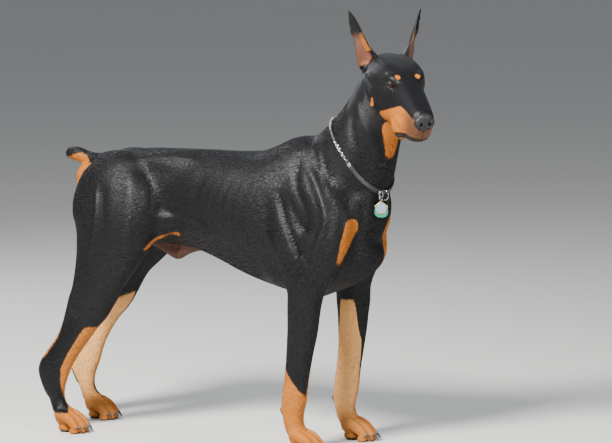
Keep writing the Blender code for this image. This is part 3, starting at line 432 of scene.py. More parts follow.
def torso_forms():
    """Trunk, withers, ribs, shoulders, forechest, loin, rump and the sheath under the belly."""
    forms = [bar(TRUNK, sides=32, square=0.92)]
    forms += both(loft(SHOULDER, sides=28))
    forms += both(loft(UPPER_ARM))
    forms += bulges(TRUNK_BULGES)
    forms.append(loft(SHEATH_FORM, front=(0, 0, 1), sides=14))
    return forms


# The neck from the withers to the back of the skull, with its arch and throat
NECK = in_metres((
    (285, 0, 560, 100, 125, 92),
    (312, 0, 615, 102, 125, 86),
    (338, -2, 665, 92, 116, 77),
    (364, -3, 725, 78, 92, 67),
    (384, 0, 785, 68, 70, 60),
    (402, 6, 840, 62, 60, 56),
    (418, 10, 880, 45, 45, 45),
))


# The short docked tail
TAIL = in_metres((
    (-285, 0, 640, 26, 34, 28),
    (-325, 0, 640, 21.5, 26, 21),
    (-362, 0, 645.5, 17.5, 18, 16.5),
    (-398, 0, 654.5, 18, 17.5, 16.5),
    (-420, 0, 655, 13, 13.5, 13),
))


def toes(at, length):
    """Each toe of a paw as (root, knuckle, tip) points; at is the floor under the toes' roots."""
    x, y = at
    found = []
    for place in (-1.5, -0.5, 0.5, 1.5):
        outer = abs(place) > 1
        reach = (0.78 if outer else 1.0) * length
        back = x - (0.008 if outer else 0.0)
        spread = y + place * 0.0150
        root = Vector((back - 0.012, y + place * 0.0100, 0.046))
        knuckle = Vector((back + 0.012, spread, 0.040))
        found.append((root, knuckle, Vector((x + reach, spread + place * 0.0012, 0.013))))
    return found


# Stations of a foreleg: x, share of the shift, y beside the leg's, z, front, back and side radius
FORELEG = (
    (0.290, 0.5, 0.90, 0.500, 0.052, 0.060, 0.040),
    (0.272, 0.6, 0.96, 0.440, 0.056, 0.062, 0.040),
    (0.256, 0.7, 0.99, 0.385, 0.046, 0.048, 0.037),
    (0.251, 0.8, 1, 0.335, 0.038, 0.045, 0.0335),
    (0.245, 0.9, 1, 0.285, 0.0370, 0.0385, 0.0295),
    (0.237, 1, 1, 0.225, 0.0320, 0.0330, 0.0255),
    (0.231, 1, 1, 0.170, 0.0290, 0.0320, 0.0230),
    (0.226, 1, 1, 0.125, 0.0290, 0.0330, 0.0250),
    (0.222, 1, 1, 0.090, 0.0250, 0.0290, 0.0235),
    (0.224, 1, 1, 0.062, 0.0230, 0.0240, 0.0225),
    (0.232, 1, 1, 0.044, 0.0230, 0.0220, 0.0245),
)

# Outlines of a hind leg: z, front x, rear x, y beside the leg's, side radius, and the shares of the
# knee's and the foot's shift
THIGH = (
    (0.642, -0.180, -0.300, 0.56, 0.034, 0, 0),
    (0.600, -0.150, -0.347, 0.76, 0.044, 0, 0),
    (0.545, -0.134, -0.361, 0.88, 0.051, 0.2, 0),
    (0.490, -0.142, -0.353, 0.94, 0.052, 0.5, 0),
    (0.444, -0.170, -0.350, 0.96, 0.050, 0.8, 0),
    (0.401, -0.200, -0.350, 0.98, 0.046, 1, 0),
    (0.352, -0.230, -0.356, 1, 0.040, 1, 0),
    (0.311, -0.254, -0.366, 1, 0.034, 1, 0),
    (0.275, -0.284, -0.372, 1, 0.026, 1, 0),
)
SHIN = (
    (0.340, -0.244, -0.330, 1, 0.034, 1, 0),
    (0.300, -0.264, -0.344, 1, 0.0290, 1, 0),
    (0.262, -0.292, -0.358, 1, 0.0250, 1, 0),
    (0.225, -0.320, -0.380, 1, 0.0215, 0.9, 0),
    (0.190, -0.345, -0.404, 1, 0.0195, 0.6, 0.2),
    (0.155, -0.364, -0.432, 1, 0.0205, 0.2, 0.6),
    (0.120, -0.376, -0.436, 1, 0.0195, 0, 1),
    (0.085, -0.382, -0.424, 1, 0.0180, 0, 1),
    (0.060, -0.375, -0.414, 1, 0.0190, 0, 1),
    (0.042, -0.358, -0.406, 1, 0.0220, 0, 1),
)
# Achilles tendon with the web of skin before it, and the point of the hock
TENDON = (
    (0.330, -0.310, -0.366, 1, 0.022, 1, 0),
    (0.282, -0.318, -0.380, 1, 0.0150, 1, 0),
    (0.243, -0.334, -0.392, 1, 0.0120, 1, 0),
    (0.207, -0.362, -0.412, 1, 0.0110, 0.7, 0.2),
    (0.180, -0.386, -0.433, 1, 0.0120, 0.3, 0.6),
    (0.148, -0.400, -0.453, 1, 0.0138, 0, 1),
    (0.118, -0.405, -0.446, 1, 0.0125, 0, 1),
    (0.085, -0.400, -0.430, 1, 0.0110, 0, 1),
)


def paw_forms(at, length=PAW_LENGTH):
    """One paw with four arched toes and its pads."""
    x, y = at
    forms = []
    for root, knuckle, tip in toes(at, length):
        bend = knuckle.lerp(tip, 0.55) + Vector((0, 0, 0.0045))
        rows = [
            (*root, 0.013, 0.013, 0.0110),
            (*knuckle, 0.0125, 0.014, 0.0108),
            (*bend, 0.0120, 0.013, 0.0105),
            (*tip, 0.0100, 0.010, 0.0090),
        ]
        forms.append(loft(rows, front=(0, 0, 1), sides=14))
        forms.append(bulge(tip + Vector((-0.007, 0, -0.0065)), (0.0125, 0.0088, 0.0098), detail=2))
    forms.append(bulge((x - 0.004, y, 0.0105), (0.020, 0.020, 0.0140), detail=2))
    forms.append(bulge((x - 0.006, y, 0.036), (0.026, 0.026, 0.024), detail=2))
    return forms


def fore_paw_at(side, shift):
    """The floor under the toes' roots of a forepaw."""
    return (0.242 + shift, side * FORE_SPREAD)


def hind_paw_at(side, shift):
    """The floor under the toes' roots of a hind paw."""
    return (-0.374 + shift, side * HIND_SPREAD)


def foreleg_forms(side, shift=0.0):
    """One foreleg from the upper arm to the paw; side is 1 on the left and -1 on the right."""
    y = side * FORE_SPREAD
    rows = [(x + shift * share, y * beside, *rest) for x, share, beside, *rest in FORELEG]
    forms = [
        loft(rows),
        # Point of the elbow, the stopper pad and the extensor muscle
        bulge((0.214 + shift * 0.7, y * 1.03, 0.402), (0.019, 0.019, 0.032)),
        bulge((0.194 + shift, y, 0.096), (0.0085, 0.0095, 0.012), detail=2),
        bulge((0.262 + shift * 0.8, y * 1.10, 0.325), (0.027, 0.020, 0.060), (0, 8, 0)),
    ]
    return forms + paw_forms(fore_paw_at(side, shift))


def hindleg_forms(side, knee=0.0, shift=0.0):
    """One hind leg from the thigh to the paw; knee and shift move the stifle and the foot along x."""
    y = side * HIND_SPREAD
    forms = []
    for outline, sides in ((THIGH, 28), (SHIN, 20), (TENDON, 16)):
        rows = [(*row[:3], y * row[3], row[4], knee * row[5] + shift * row[6]) for row in outline]
        forms.append(limb(rows, sides=sides))
    return forms + paw_forms(hind_paw_at(side, shift), length=HIND_PAW_LENGTH)


def head_matrix():
    """From the head's own frame to the dog's."""
    turn = Matrix.Rotation(HEAD_YAW, 4, "Z")
    nod = Matrix.Rotation(HEAD_PITCH, 4, "Y")
    tilt = Matrix.Rotation(HEAD_ROLL, 4, "X")
    return Matrix.Translation(HEAD_AT) @ turn @ nod @ tilt @ Matrix.Scale(HEAD_SIZE, 4)


def head_loft(stations, steps=4, sides=36):
    """A loft along the head; each station is (x, top, middle, bottom, half width, upper, lower).

    The half width is at the middle height. upper and lower under 1 make those halves boxier.
    """
    loops = []
    for x, top, middle, bottom, half, upper, lower in spline(stations, steps):
        loop = []
        for turn in turns_round(sides):
            c, s = math.cos(turn), math.sin(turn)
            shape = upper if c > 0 else lower
            reach = (top - middle) if c > 0 else (middle - bottom)
            loop.append((x, half * power(s, shape), middle + reach * power(c, shape)))
        loops.append(loop)
    return loft_loops(loops)


def on_side(point, side):
    """A point of the left side, on the side that is asked for."""
    return Vector((point[0], point[1] * side, point[2]))


SKULL = (
    (-0.139, 0.000, -0.022, -0.050, 0.020, 0.90, 0.90),
    (-0.126, 0.006, -0.024, -0.070, 0.040, 0.80, 0.90),
    (-0.100, 0.0145, -0.028, -0.096, 0.0550, 0.68, 0.86),
    (-0.070, 0.0215, -0.029, -0.108, 0.0605, 0.66, 0.82),
    (-0.040, 0.0262, -0.026, -0.108, 0.0590, 0.68, 0.82),
    (-0.016, 0.0270, -0.024, -0.102, 0.0490, 0.70, 0.80),
    (0.010, 0.0230, -0.024, -0.096, 0.0378, 0.70, 0.76),
    (0.038, 0.0188, -0.027, -0.091, 0.0345, 0.70, 0.72),
    (0.070, 0.0152, -0.030, -0.084, 0.0325, 0.68, 0.70),
    (0.100, 0.0120, -0.031, -0.077, 0.0300, 0.68, 0.70),
    (0.119, 0.0085, -0.030, -0.070, 0.0265, 0.70, 0.74),
    (0.131, 0.0030, -0.026, -0.060, 0.0205, 0.80, 0.85),
    (0.137, -0.006, -0.024, -0.048, 0.0130, 0.90, 0.90),
)
HEAD_BULGES = (
    # Cheek bone, brow and the side of the muzzle
    ((-0.044, 0.0500, -0.018), (0.044, 0.0100, 0.0130), (0, 0, -17)),
    ((-0.006, 0.0290, 0.0155), (0.022, 0.0125, 0.0095), (0, 0, -22)),
    ((0.074, 0.0240, -0.046), (0.046, 0.0100, 0.0165), (0, -3, -5)),
    # Hanging upper lip at the corner of the mouth, and the corner of the jaw
    ((0.052, 0.0235, -0.0725), (0.038, 0.0105, 0.0170), (0, 14, -4)),
    ((-0.084, 0.0360, -0.072), (0.040, 0.0270, 0.0440), (0, -14, 0)),
    (EYE_AT, (LID_RADIUS, LID_RADIUS, LID_RADIUS)),
)

# Along an ear: share of its length, half width, depth of the fold, how far its middle leans out,
# thickness beside EAR_LEATHER, and slope
EAR_STATIONS = (
    (-0.30, 0.0170, 0.0150, 0.005, 1.10, 0.020),
    (-0.16, 0.0290, 0.0260, 0.008, 1.10, 0.018),
    (0.00, 0.0335, 0.0280, 0.009, 1.05, 0.014),
    (0.13, 0.0315, 0.0250, 0.007, 1.00, 0.009),
    (0.27, 0.0250, 0.0190, 0.0035, 1.00, 0.005),
    (0.42, 0.0190, 0.0128, 0.001, 0.95, 0.002),
    (0.60, 0.0158, 0.0085, 0.000, 0.90, 0.000),
    (0.78, 0.0122, 0.0055, 0.000, 0.80, 0.000),
    (0.92, 0.0068, 0.0035, -0.001, 0.65, 0.000),
    (1.00, 0.0022, 0.0026, -0.002, 0.50, 0.000),
)
EAR_ARC = 1.72


def head_forms():
    """Skull, brows, cheeks, muzzle, lips and jaw."""
    return placed([head_loft(SKULL)] + bulges(HEAD_BULGES), head_matrix())


def ear_frame(side):
    """An ear's base, the way up it, its length, the way out of its cup and the way across it."""
    base, tip = on_side(EAR_BASE, side), on_side(EAR_TIP, side)
    axis = (tip - base).normalized()
    face = Vector((math.cos(EAR_OUTWARD), side * math.sin(EAR_OUTWARD), 0.0))
    face = (face - axis * face.dot(axis)).normalized()
    return base, axis, (tip - base).length, face, axis.cross(face) * -side


def ear_forms(side):
    """One cropped ear: an upright leaf, folded into a cup at its base."""
    base, axis, length, face, outer = ear_frame(side)
    arc = np.linspace(-EAR_ARC, EAR_ARC, 8)
    loops = []
    for along, half, depth, lean, thick, slope in spline(EAR_STATIONS, 2):
        middle = base + axis * (along * length) + outer * lean
        leather = EAR_LEATHER * thick
        inner = (arc[::-1], max(half - leather, 0.0008), max(depth - leather, 0.0006))
        loop = []
        for turns, wide, deep in ((arc, half, depth), inner):
            for turn in turns:
                across = outer * (wide * math.sin(turn)) - axis * (slope * math.sin(turn))
                loop.append(middle + across - face * (deep * math.cos(turn)))
        loops.append(loop)
    return placed([loft_loops(loops)], head_matrix())


def eye_direction(side):
    """The way an eye looks, in the head's own frame."""
    return Vector((math.cos(EYE_OUTWARD), side * math.sin(EYE_OUTWARD), 0.06)).normalized()


def nose_forms():
    """The nose leather with its rounded wings."""
    x, _, z = NOSE_AT
    rows = (
        ((x, 0, z + 0.001), (0.0120, 0.0200, 0.0190)),
        ((x + 0.0025, 0, z + 0.0105), (0.0095, 0.0165, 0.0100)),
        ((x + 0.0030, 0, z - 0.0105), (0.0085, 0.0110, 0.0090)),
        ((x + 0.0035, 0.0132, z + 0.0002), (0.0095, 0.0092, 0.0124)),
    )
    return placed(bulges(rows), head_matrix())


def nostril_forms(side):
    """A nostril: a round hole with a slit that runs back and down from it."""
    x, _, z = NOSE_AT
    hole_at, slit_at = (x + 0.012, 0.0098 * side, z + 0.0005), (x + 0.007, 0.0165 * side, z - 0.0030)
    hole = bulge(hole_at, (0.0100, 0.0036, 0.0046), (0, 0, 14 * side), 2)
    slit = bulge(slit_at, (0.0075, 0.0065, 0.0016), (20 * side, 0, 40 * side), 2)
    return placed([hole, slit], head_matrix())


def collar_point(tree, turn):
    """A point of the collar's loop on the neck, at an angle from its lowest, and the way out of it."""
    across = COLLAR_LOW - COLLAR_HEART
    across = (across - COLLAR_NORMAL * across.dot(COLLAR_NORMAL)).normalized()
    around = COLLAR_NORMAL.cross(across)
    sag = COLLAR_SAG * math.exp(-((turn / math.radians(38)) ** 2))
    heart = COLLAR_HEART - COLLAR_NORMAL * sag
    out = across * math.cos(turn) + around * math.sin(turn)
    hit, face, _, _ = tree.ray_cast(heart + out * 0.30, -out, 0.4)
    smooth = (face * 3 + out).normalized()
    return hit, smooth


def collar_line(tree, first, last, count):
    """Points and outward directions along the collar between two angles, evened out."""
    turns = np.linspace(first, last, count)
    found = [collar_point(tree, turn) for turn in turns]
    outs = []
    for i in range(count):
        near_by = found[max(i - 2, 0) : i + 3]
        outs.append(sum((face for _, face in near_by), Vector()).normalized())
    return [(hit, out) for (hit, _), out in zip(found, outs)]


def star_outline(points, outer, inner):
    """The corners of a star, as (across, up) pairs."""
    found = []
    for k in range(points * 2):
        turn = math.pi * k / points + math.pi / 2
        reach = outer if k % 2 == 0 else inner
        found.append((reach * math.cos(turn), reach * math.sin(turn)))
    return found


def rounded_outline(wide, tall):
    """The corners of a rounded tag, as (across, up) pairs."""
    turns = turns_round(48)
    return [(wide * power(math.cos(turn), 0.75), tall * power(math.sin(turn), 0.85)) for turn in turns]


def joined(name, forms):
    """One object that holds all the forms, still loose."""
    gathered = bmesh.new()
    for form in forms:
        spare = bpy.data.meshes.new("form")
        form.to_mesh(spare)
        form.free()
        gathered.from_mesh(spare)
        bpy.data.meshes.remove(spare)
    whole = bpy.data.meshes.new(name)
    gathered.to_mesh(whole)
    gathered.free()
    return new_object(name, whole)


def applied(obj):
    """Makes the object's modifiers part of its mesh."""
    graph = bpy.context.evaluated_depsgraph_get()
    made = bpy.data.meshes.new_from_object(obj.evaluated_get(graph))
    obj.modifiers.clear()
    old = obj.data
    obj.data = made
    bpy.data.meshes.remove(old)
    made.name = obj.name
    return obj


def smoothed(obj):
    """Shades an object's faces smooth."""
    obj.data.shade_smooth()
    return obj


def weigh(obj, name, weights):
    """A vertex group whose weights are rounded to eleven levels."""
    group = obj.vertex_groups.new(name=name)
    levels = np.round(np.clip(weights, 0, 1) * 10).astype(int)
    for level in range(11):
        group.add(np.flatnonzero(levels == level).tolist(), level / 10, "REPLACE")


def soften(obj, rounds, group=""):
    """Evens an object's mesh out, all over or where a vertex group says."""
    soft = obj.modifiers.new("Soft", "SMOOTH")
    soft.factor = 0.5
    soft.iterations = int(rounds)
    soft.vertex_group = group
    return applied(obj)


def vertex_array(values, name):
    """Three numbers of each vertex as an array."""
    flat = np.empty(len(values) * 3, np.float32)
    values.foreach_get(name, flat)
    return flat.reshape(-1, 3).astype(float)


def vertex_places(mesh):
    """The vertices of a mesh as an array."""
    return vertex_array(mesh.vertices, "co")


def vertex_normals(mesh):
    """The normals of a mesh's vertices as an array."""
    return vertex_array(mesh.vertex_normals, "vector")


def set_places(mesh, places):
    """Moves the vertices of a mesh."""
    mesh.vertices.foreach_set("co", places.astype(np.float32).ravel())
    mesh.update()


def store(mesh, name, values):
    """A number on each vertex, for the materials to read."""
    layer = mesh.attributes.new(name, "FLOAT", "POINT")
    layer.data.foreach_set("value", np.asarray(values, np.float32))


def near(places, at, radius, soft):
    """How near each place is to a point: 1 within the radius, 0 past radius and soft together."""
    reach = np.linalg.norm(places - np.array(at), axis=1)
    return np.clip((radius + soft - reach) / soft, 0, 1)


def step(values, low, high):
    """A soft step from 0 at low to 1 at high, which may lie below it."""
    t = np.clip((values - low) / (high - low), 0, 1)
    return t * t * (3 - 2 * t)


def ridge(reach, wide):
    """1 on a line, falling off smoothly to both sides."""
    return np.exp(-((reach / wide) ** 2))


def reach_of_path(places, path):
    """How far each place is from a path of points, and its share of the way along it."""
    best = np.full(len(places), 1e9)
    share = np.zeros(len(places))
    count = len(path) - 1
    for i in range(count):
        low, high = np.array(path[i], float), np.array(path[i + 1], float)
        along = high - low
        t = np.clip((places - low) @ along / (along @ along), 0, 1)
        reach = np.linalg.norm(places - (low + t[:, None] * along), axis=1)
        closer = reach < best
        best[closer] = reach[closer]
        share[closer] = (i + t[closer]) / count
    return best, share


def to_head(places):
    """Places in the head's own frame."""
    matrix = np.array(head_matrix().inverted())
    return places @ matrix[:3, :3].T + matrix[:3, 3]


def tree_of(mesh):
    """A search tree of a mesh."""
    return BVHTree.FromPolygons([v.co for v in mesh.vertices], [p.vertices for p in mesh.polygons])


def lump(places, at, radii):
    """A smooth lump, 1 at a point and nothing past its radii."""
    reach = (((places - np.array(at)) / np.array(radii)) ** 2).sum(axis=1)
    return np.clip(1 - reach, 0, 1) ** 2


def line_relief(places, lines, side_of):
    """Ridges and grooves along paths: each is (path, how wide, how high), negative for a groove."""
    relief = np.zeros(len(places))
    for path, wide, high in lines:
        points = spline([side_of(p) for p in path], 3)
        low, top = points.min(axis=0) - 3 * wide, points.max(axis=0) + 3 * wide
        close = np.flatnonzero(((places > low) & (places < top)).all(axis=1))
        if not len(close):
            continue
        reach, share = reach_of_path(places[close], points)
        fade = step(share, 0.0, 0.18) * step(share, 1.0, 0.82)
        relief[close] += high * fade * ridge(reach, wide)
    return relief


# Ridges and grooves that the muscles, veins and folds make on each side of the body: each is a path
# of points on the right side, how wide it is and how high it stands
SIDE_LINES = in_metres((
    # Folds of the shoulder, from the withers down to the elbow
    (((234, -74, 673), (281, -103, 613), (311, -123, 541), (292, -131, 480), (286, -133, 416)), 9, 3),
    (((256, -31, 724), (285, -81, 650), (322, -112, 571)), 8, 2.6),
    (((220, -62, 691), (231, -104, 611), (263, -119, 554), (255, -124, 500)), 12, -3.4),
    (((270, -50, 700), (306, -100, 600), (338, -108, 540)), 10, -2.4),
    (((185, -106, 610), (203, -115, 550), (240, -128, 478), (250, -132, 445)), 10, -3.4),
    # Rear edge of the triceps
    (((160, -100, 600), (162, -112, 520), (178, -118, 455), (196, -118, 415)), 13, -3.6),
    # Point of the elbow and the fold over it
    (((216, -125, 404), (245, -133, 436), (256, -131, 464)), 5, 2.2),
    (((256, -131, 464), (267, -135, 427), (282, -132, 404), (294, -132, 428)), 5, 1.8),
    # Muscles and vein down the forearm
    (((254, -134, 389), (247, -133, 351), (235, -129, 307), (229, -125, 248), (224, -122, 179)), 4.5, 1.6),
    (((276, -130, 385), (262, -133, 330), (250, -130, 270), (243, -124, 210)), 6, -1.6),
    (((222, -118, 174), (214, -118, 130), (205, -115, 100)), 3.5, -1.6),
    # Neck muscle from behind the ear to the shoulder, and the groove before it
    (((352, -46, 815), (375, -64, 765), (399, -62, 720), (415, -40, 655)), 9, 2.2),
    (((345, -60, 790), (352, -67, 742), (378, -69, 675), (395, -55, 617)), 11, -2.2),
    # Hip, thigh and stifle
    (((-277, -116, 602), (-273, -135, 530), (-281, -138, 460), (-288, -138, 425)), 4.5, 2),
    (((-262, -118, 602), (-252, -135, 530), (-258, -138, 460)), 12, -2.4),
    (((-205, -95, 640), (-190, -112, 570), (-196, -125, 490), (-210, -125, 430)), 16, 3),
    (((-236, -109, 337), (-221, -113, 366), (-197, -123, 419)), 6, 1.6),
    (((-320, -120, 400), (-322, -115, 340), (-340, -110, 280), (-372, -108, 215)), 8, -2.2),
    (((-330, -112, 330), (-352, -108, 250), (-385, -105, 190)), 3, 1),
    # Fold of the flank
    (((-149, -110, 526), (-104, -83, 521), (-43, -91, 513), (6, -95, 485), (30, -85, 454)), 9, 2.6),
    (((-148, -96, 548), (-100, -82, 538), (-40, -94, 528), (14, -100, 505)), 10, -2.6),
    (((-151, -93, 600), (-145, -99, 564), (-146, -106, 533)), 6, -2.2),
    # Edge of the loin and the last rib
    (((60, -90, 652), (-40, -78, 655), (-140, -78, 655)), 12, -1.6),
    (((-5, -90, 640), (-30, -100, 580), (-10, -104, 520)), 14, -1.4),
))

# Faint ribs on each side: where each starts under the back, how far they lean, and how high they stand
RIB_FIRST = 0.135
RIB_STEP = 0.026
RIB_COUNT = 6
RIB_LEAN = 0.030
RIB_PATH = ((0, 0.085, 0.630), (1, 0.112, 0.550), (0.4, 0.108, 0.460))
RIB_HEIGHT = 0.0007

# Creases and folds of the breast and throat, which aren't the same on both sides
BREAST_LINES = in_metres((
    (((373, -75, 584), (381, -74, 557), (381, -70, 535), (371, -78, 493), (344, -63, 404)), 9, -4),
    (((402, -45, 545), (408, -40, 520), (405, -46, 492)), 6, -3),
    (((405, -20, 535), (408, -38, 520), (396, -62, 525)), 4, 1.4),
    (((290, 66, 351), (335, 20, 372), (378, -25, 395)), 8, -4),
    (((407, -49, 656), (418, -37, 662), (425, -8, 649)), 4, 2.2),
    (((421, -30, 700), (420, -34, 662), (413, -34, 630)), 4, 1.6),
))

# Ridges and grooves of the face, in the head's own frame, on its left side
FACE_LINES = in_metres((
    # Tear groove, from the inner corner of the eye down the muzzle
    (((18, 33, -4), (30, 34.5, -13), (48, 34.5, -27)), 5.5, -1.8),
    # Cheek bone and the edge of the jaw muscle under it
    (((12, 38, -22), (-30, 55, -22), (-70, 61.5, -16)), 8, 1.6),
    (((16, 37, -40), (-12, 49, -42), (-50, 61, -38)), 9, -1.6),
    (((8, 38, -54), (-4, 43, -72), (-20, 46, -92)), 6, -1.6),
    (((-62, 62, -50), (-50, 60, -80), (-26, 48, -102)), 10, 1.4),
    # Muscle over the temple and the furrow of the brow
    (((-30, 30, 24), (-70, 34, 20), (-104, 36, 8)), 11, 1.6),
    (((-22, 43, 14), (-60, 52, 8), (-92, 52, 0)), 8, -1.2),
    # Ridge along the upper lip, and the fold above it behind the nose
    (((108, 22, -52), (85, 32, -62), (55, 35, -78), (30, 35, -84)), 6, 1.2),
    (((112, 24, -22), (90, 32, -30), (60, 36, -38), (30, 40, -48)), 8, -1),
))
FACE_MIDDLE = in_metres((
    # Furrow between the brows and the middle of the bridge
    (((-85, 0, 24), (-40, 0, 28), (0, 0, 24), (22, 0, 20)), 6.5, -1.6),
    (((40, 0, 18), (80, 0, 13), (112, 0, 8)), 4, -0.6),
))


def lid_lines():
    """Folds round the left eye, which follow the almond: (path, half width, height)."""
    at, look, across, up = eye_frame(1)
    found = []
    for size, first, last, wide, high in (
        (1.75, 0.06, 0.94, 0.0024, -0.0008),
        (2.35, 0.10, 0.90, 0.0038, 0.0004),
        (1.80, 1.08, 1.92, 0.0024, -0.0008),
        (2.30, 1.12, 1.88, 0.0032, 0.0006),
    ):
        path = []
        for turn in np.linspace(first, last, 9) * math.pi:
            wide_at, tall = almond(turn, size)
            flat = across * wide_at + up * tall
            deep = math.sqrt(max((LID_RADIUS + 0.0008) ** 2 - flat.length_squared, 1e-6))
            path.append(tuple(at + flat + look * deep))
        found.append((path, wide, high))
    return found


def smoothing_weights(places):
    """How strongly each place of the flesh is smoothed: the trunk and thighs most, the face least."""
    face = near(places, head_matrix() @ Vector((0.010, 0, -0.02)), 0.135, 0.05)
    paws = np.clip((0.085 - places[:, 2]) / 0.03, 0, 1)
    limbs = np.clip((0.36 - places[:, 2]) / 0.10, 0, 1) * 0.8
    tail = np.clip((-0.355 - places[:, 0]) / 0.02, 0, 1) * (places[:, 2] > 0.61) * 0.75
    ears = ear_share(places)
    return 1.0 - np.maximum.reduce([face * 0.95, paws, limbs, tail, ears])


def ear_share(places):
    """How far each place belongs to an ear: 1 on its leaf, fading at the root."""
    own = to_head(places)
    return step(own[:, 2], 0.018, 0.034) * step(own[:, 0], -0.075, -0.100)


def side_relief(places):
    """What the lines and ribs add on both sides of the body."""
    relief = np.zeros(len(places))
    for side in (-1, 1):
        # The far legs stand at other places along x than the near ones
        shift = 0.0 if side < 0 else 1.0

        def side_of(point, side=side, shift=shift):
            x, y, z = point
            low = float(np.clip((0.50 - z) / 0.30, 0, 1))
            move = FAR_FORE * low if x > 0.1 else (FAR_KNEE * low if x < -0.18 else 0.0)
            return (x + shift * move, -y * side, z)

        relief += line_relief(places, SIDE_LINES, side_of)
    for k in range(RIB_COUNT):
        x = RIB_FIRST - k * RIB_STEP
        for side in (-1, 1):
            path = [(x - RIB_LEAN * lean, side * y, z) for lean, y, z in RIB_PATH]
            relief += line_relief(places, [(path, 0.008, RIB_HEIGHT)], tuple)
    return relief


def face_relief(places):
    """What the folds of lids, cheeks, lips and brows add."""
    own = to_head(places)
    relief = np.zeros(len(places))
    for side in (-1, 1):
        lines = list(FACE_LINES) + lid_lines()
        relief += line_relief(own, lines, lambda p, side=side: (p[0], p[1] * side, p[2]))
    relief += line_relief(own, FACE_MIDDLE, tuple)
    return relief * HEAD_SIZE


def skin_hits(tree, rays, back):
    """Where rays onto the head meet it: each is (place, way out), in the head's own frame."""
    matrix = head_matrix()
    points = []
    for at, out in rays:
        way = (matrix.to_3x3() @ -out).normalized()
        hit = tree.ray_cast(matrix @ (at + out * back), way, 0.2)[0]
        if hit is not None:
            points.append(hit)
    return points


def mouth_path(tree):
    """Points on the skin along the line of the mouth, from one corner round to the other."""
    rays = [(Vector((x, 0, z)), Vector((0, 1, 0))) for x, z in spline(MOUTH_LINE, 3)]
    last_x, last_z = MOUTH_LINE[-1]
    for turn in (70, 50, 32, 15):
        out = Vector((math.cos(math.radians(turn)), math.sin(math.radians(turn)), 0))
        rays.append((Vector((last_x, 0, last_z + 0.003 * out.x)), out))
    front = (Vector((last_x, 0, last_z + 0.003)), Vector((1, 0, 0)))
    rest = [(Vector((at.x, 0, at.z)), Vector((out.x, -out.y, 0))) for at, out in reversed(rays)]
    return skin_hits(tree, rays + [front] + rest, 0.12)


def philtrum_path(tree):
    """Points down the middle of the upper lip, under the nose."""
    ahead = Vector((1, 0, 0))
    rays = [(Vector((0.19, 0, height)), ahead) for height in np.linspace(-0.030, -0.054, 5)]
    return skin_hits(tree, rays, 0.0)


def eye_frame(side):
    """Middle, outward direction, and the across and up directions of an eye, in the head's own frame."""
    look = eye_direction(side)
    across = look.cross(Vector((0, 0, 1))).normalized() * -side
    up = across.cross(look).normalized()
    if up.z < 0:
        up = -up
    return on_side(EYE_AT, side), look, across, up


def almond(turn, size=1.0):
    """A point of the almond between the lids, as (across, up)."""
    wide = math.cos(turn) * HALF_LENGTH * size
    tall = math.sin(turn) * HALF_HEIGHT * size
    return wide, tall - LID_SLANT * math.cos(turn) * size


def draw_lids(obj):
    """Draws the skin round each almond down onto a thin lid over the eyeball."""
    own = to_head(vertex_places(obj.data))
    for side in (-1, 1):
        at, look, across, up = (np.array(v) for v in eye_frame(side))
        off = own - at
        wide = off @ across
        tall = off @ up + LID_SLANT * wide / HALF_LENGTH
        share = np.hypot(wide / HALF_LENGTH, tall / HALF_HEIGHT)
        reach = np.linalg.norm(off, axis=1)
        pull = step(share, 2.60, 1.25) * step(off @ look, 0.000, 0.004) * (reach < 0.030)
        lid = EYE_RADIUS + LID_THICK + 0.0009 * np.clip((share - 1) / 0.45, 0, 1)
        own = at + off * ((reach * (1 - pull) + lid * pull) / np.maximum(reach, 1e-6))[:, None]
    matrix = np.array(head_matrix())
    set_places(obj.data, own @ matrix[:3, :3].T + matrix[:3, 3])


def open_lids(obj):
    """Opens the skin along each almond, and turns its rim in towards the eyeball."""
    draw_lids(obj)
    made = bmesh.new()
    made.from_mesh(obj.data)
    inverse = head_matrix().inverted()
    matrix = head_matrix()
    for side in (-1, 1):
        at, look, across, up = eye_frame(side)
        middle = matrix @ at

        def spot(off, across=across, up=up):
            """Across, up with the almond's slant taken out, and how far out of the almond: 1 on its edge."""
            wide = off.dot(across)
            tall = off.dot(up) + LID_SLANT * wide / HALF_LENGTH
            return wide, tall, math.hypot(wide / HALF_LENGTH, tall / HALF_HEIGHT)

        shares = {}
        for vert in made.verts:
            if (vert.co - middle).length > LID_RADIUS * 1.6:
                continue
            off = (inverse @ vert.co) - at
            if off.dot(look) < 0.003:
                continue
            shares[vert] = spot(off)[2]
        open_faces = set()
        for vert in shares:
            for face in vert.link_faces:
                if sum(shares.get(w, 9.0) < 1 for w in face.verts) * 2 > len(face.verts):
                    open_faces.add(face)
        bmesh.ops.delete(made, geom=list(open_faces), context="FACES")
        rim = [v for v in shares if v.is_valid and any(e.is_boundary for e in v.link_edges)]
        for vert in rim:
            wide, tall, share = spot((inverse @ vert.co) - at)
            grow = 1 / share
            wide, tall = wide * grow, tall * grow
            flat = across * wide + up * (tall - LID_SLANT * wide / HALF_LENGTH)
            deep = math.sqrt(max((EYE_RADIUS + LID_THICK) ** 2 - flat.length_squared, 1e-8))
            vert.co = matrix @ (at + flat + look * deep)
        edges = list({e for v in rim for e in v.link_edges if e.is_boundary})
        turned = bmesh.ops.extrude_edge_only(made, edges=edges)["geom"]
        for vert in (g for g in turned if isinstance(g, bmesh.types.BMVert)):
            off = (inverse @ vert.co) - at
            vert.co = matrix @ (at + off * ((EYE_RADIUS - 0.0010) / off.length))
    loose = [v for v in made.verts if not v.link_faces]
    bmesh.ops.delete(made, geom=loose, context="VERTS")
    made.to_mesh(obj.data)
    made.free()


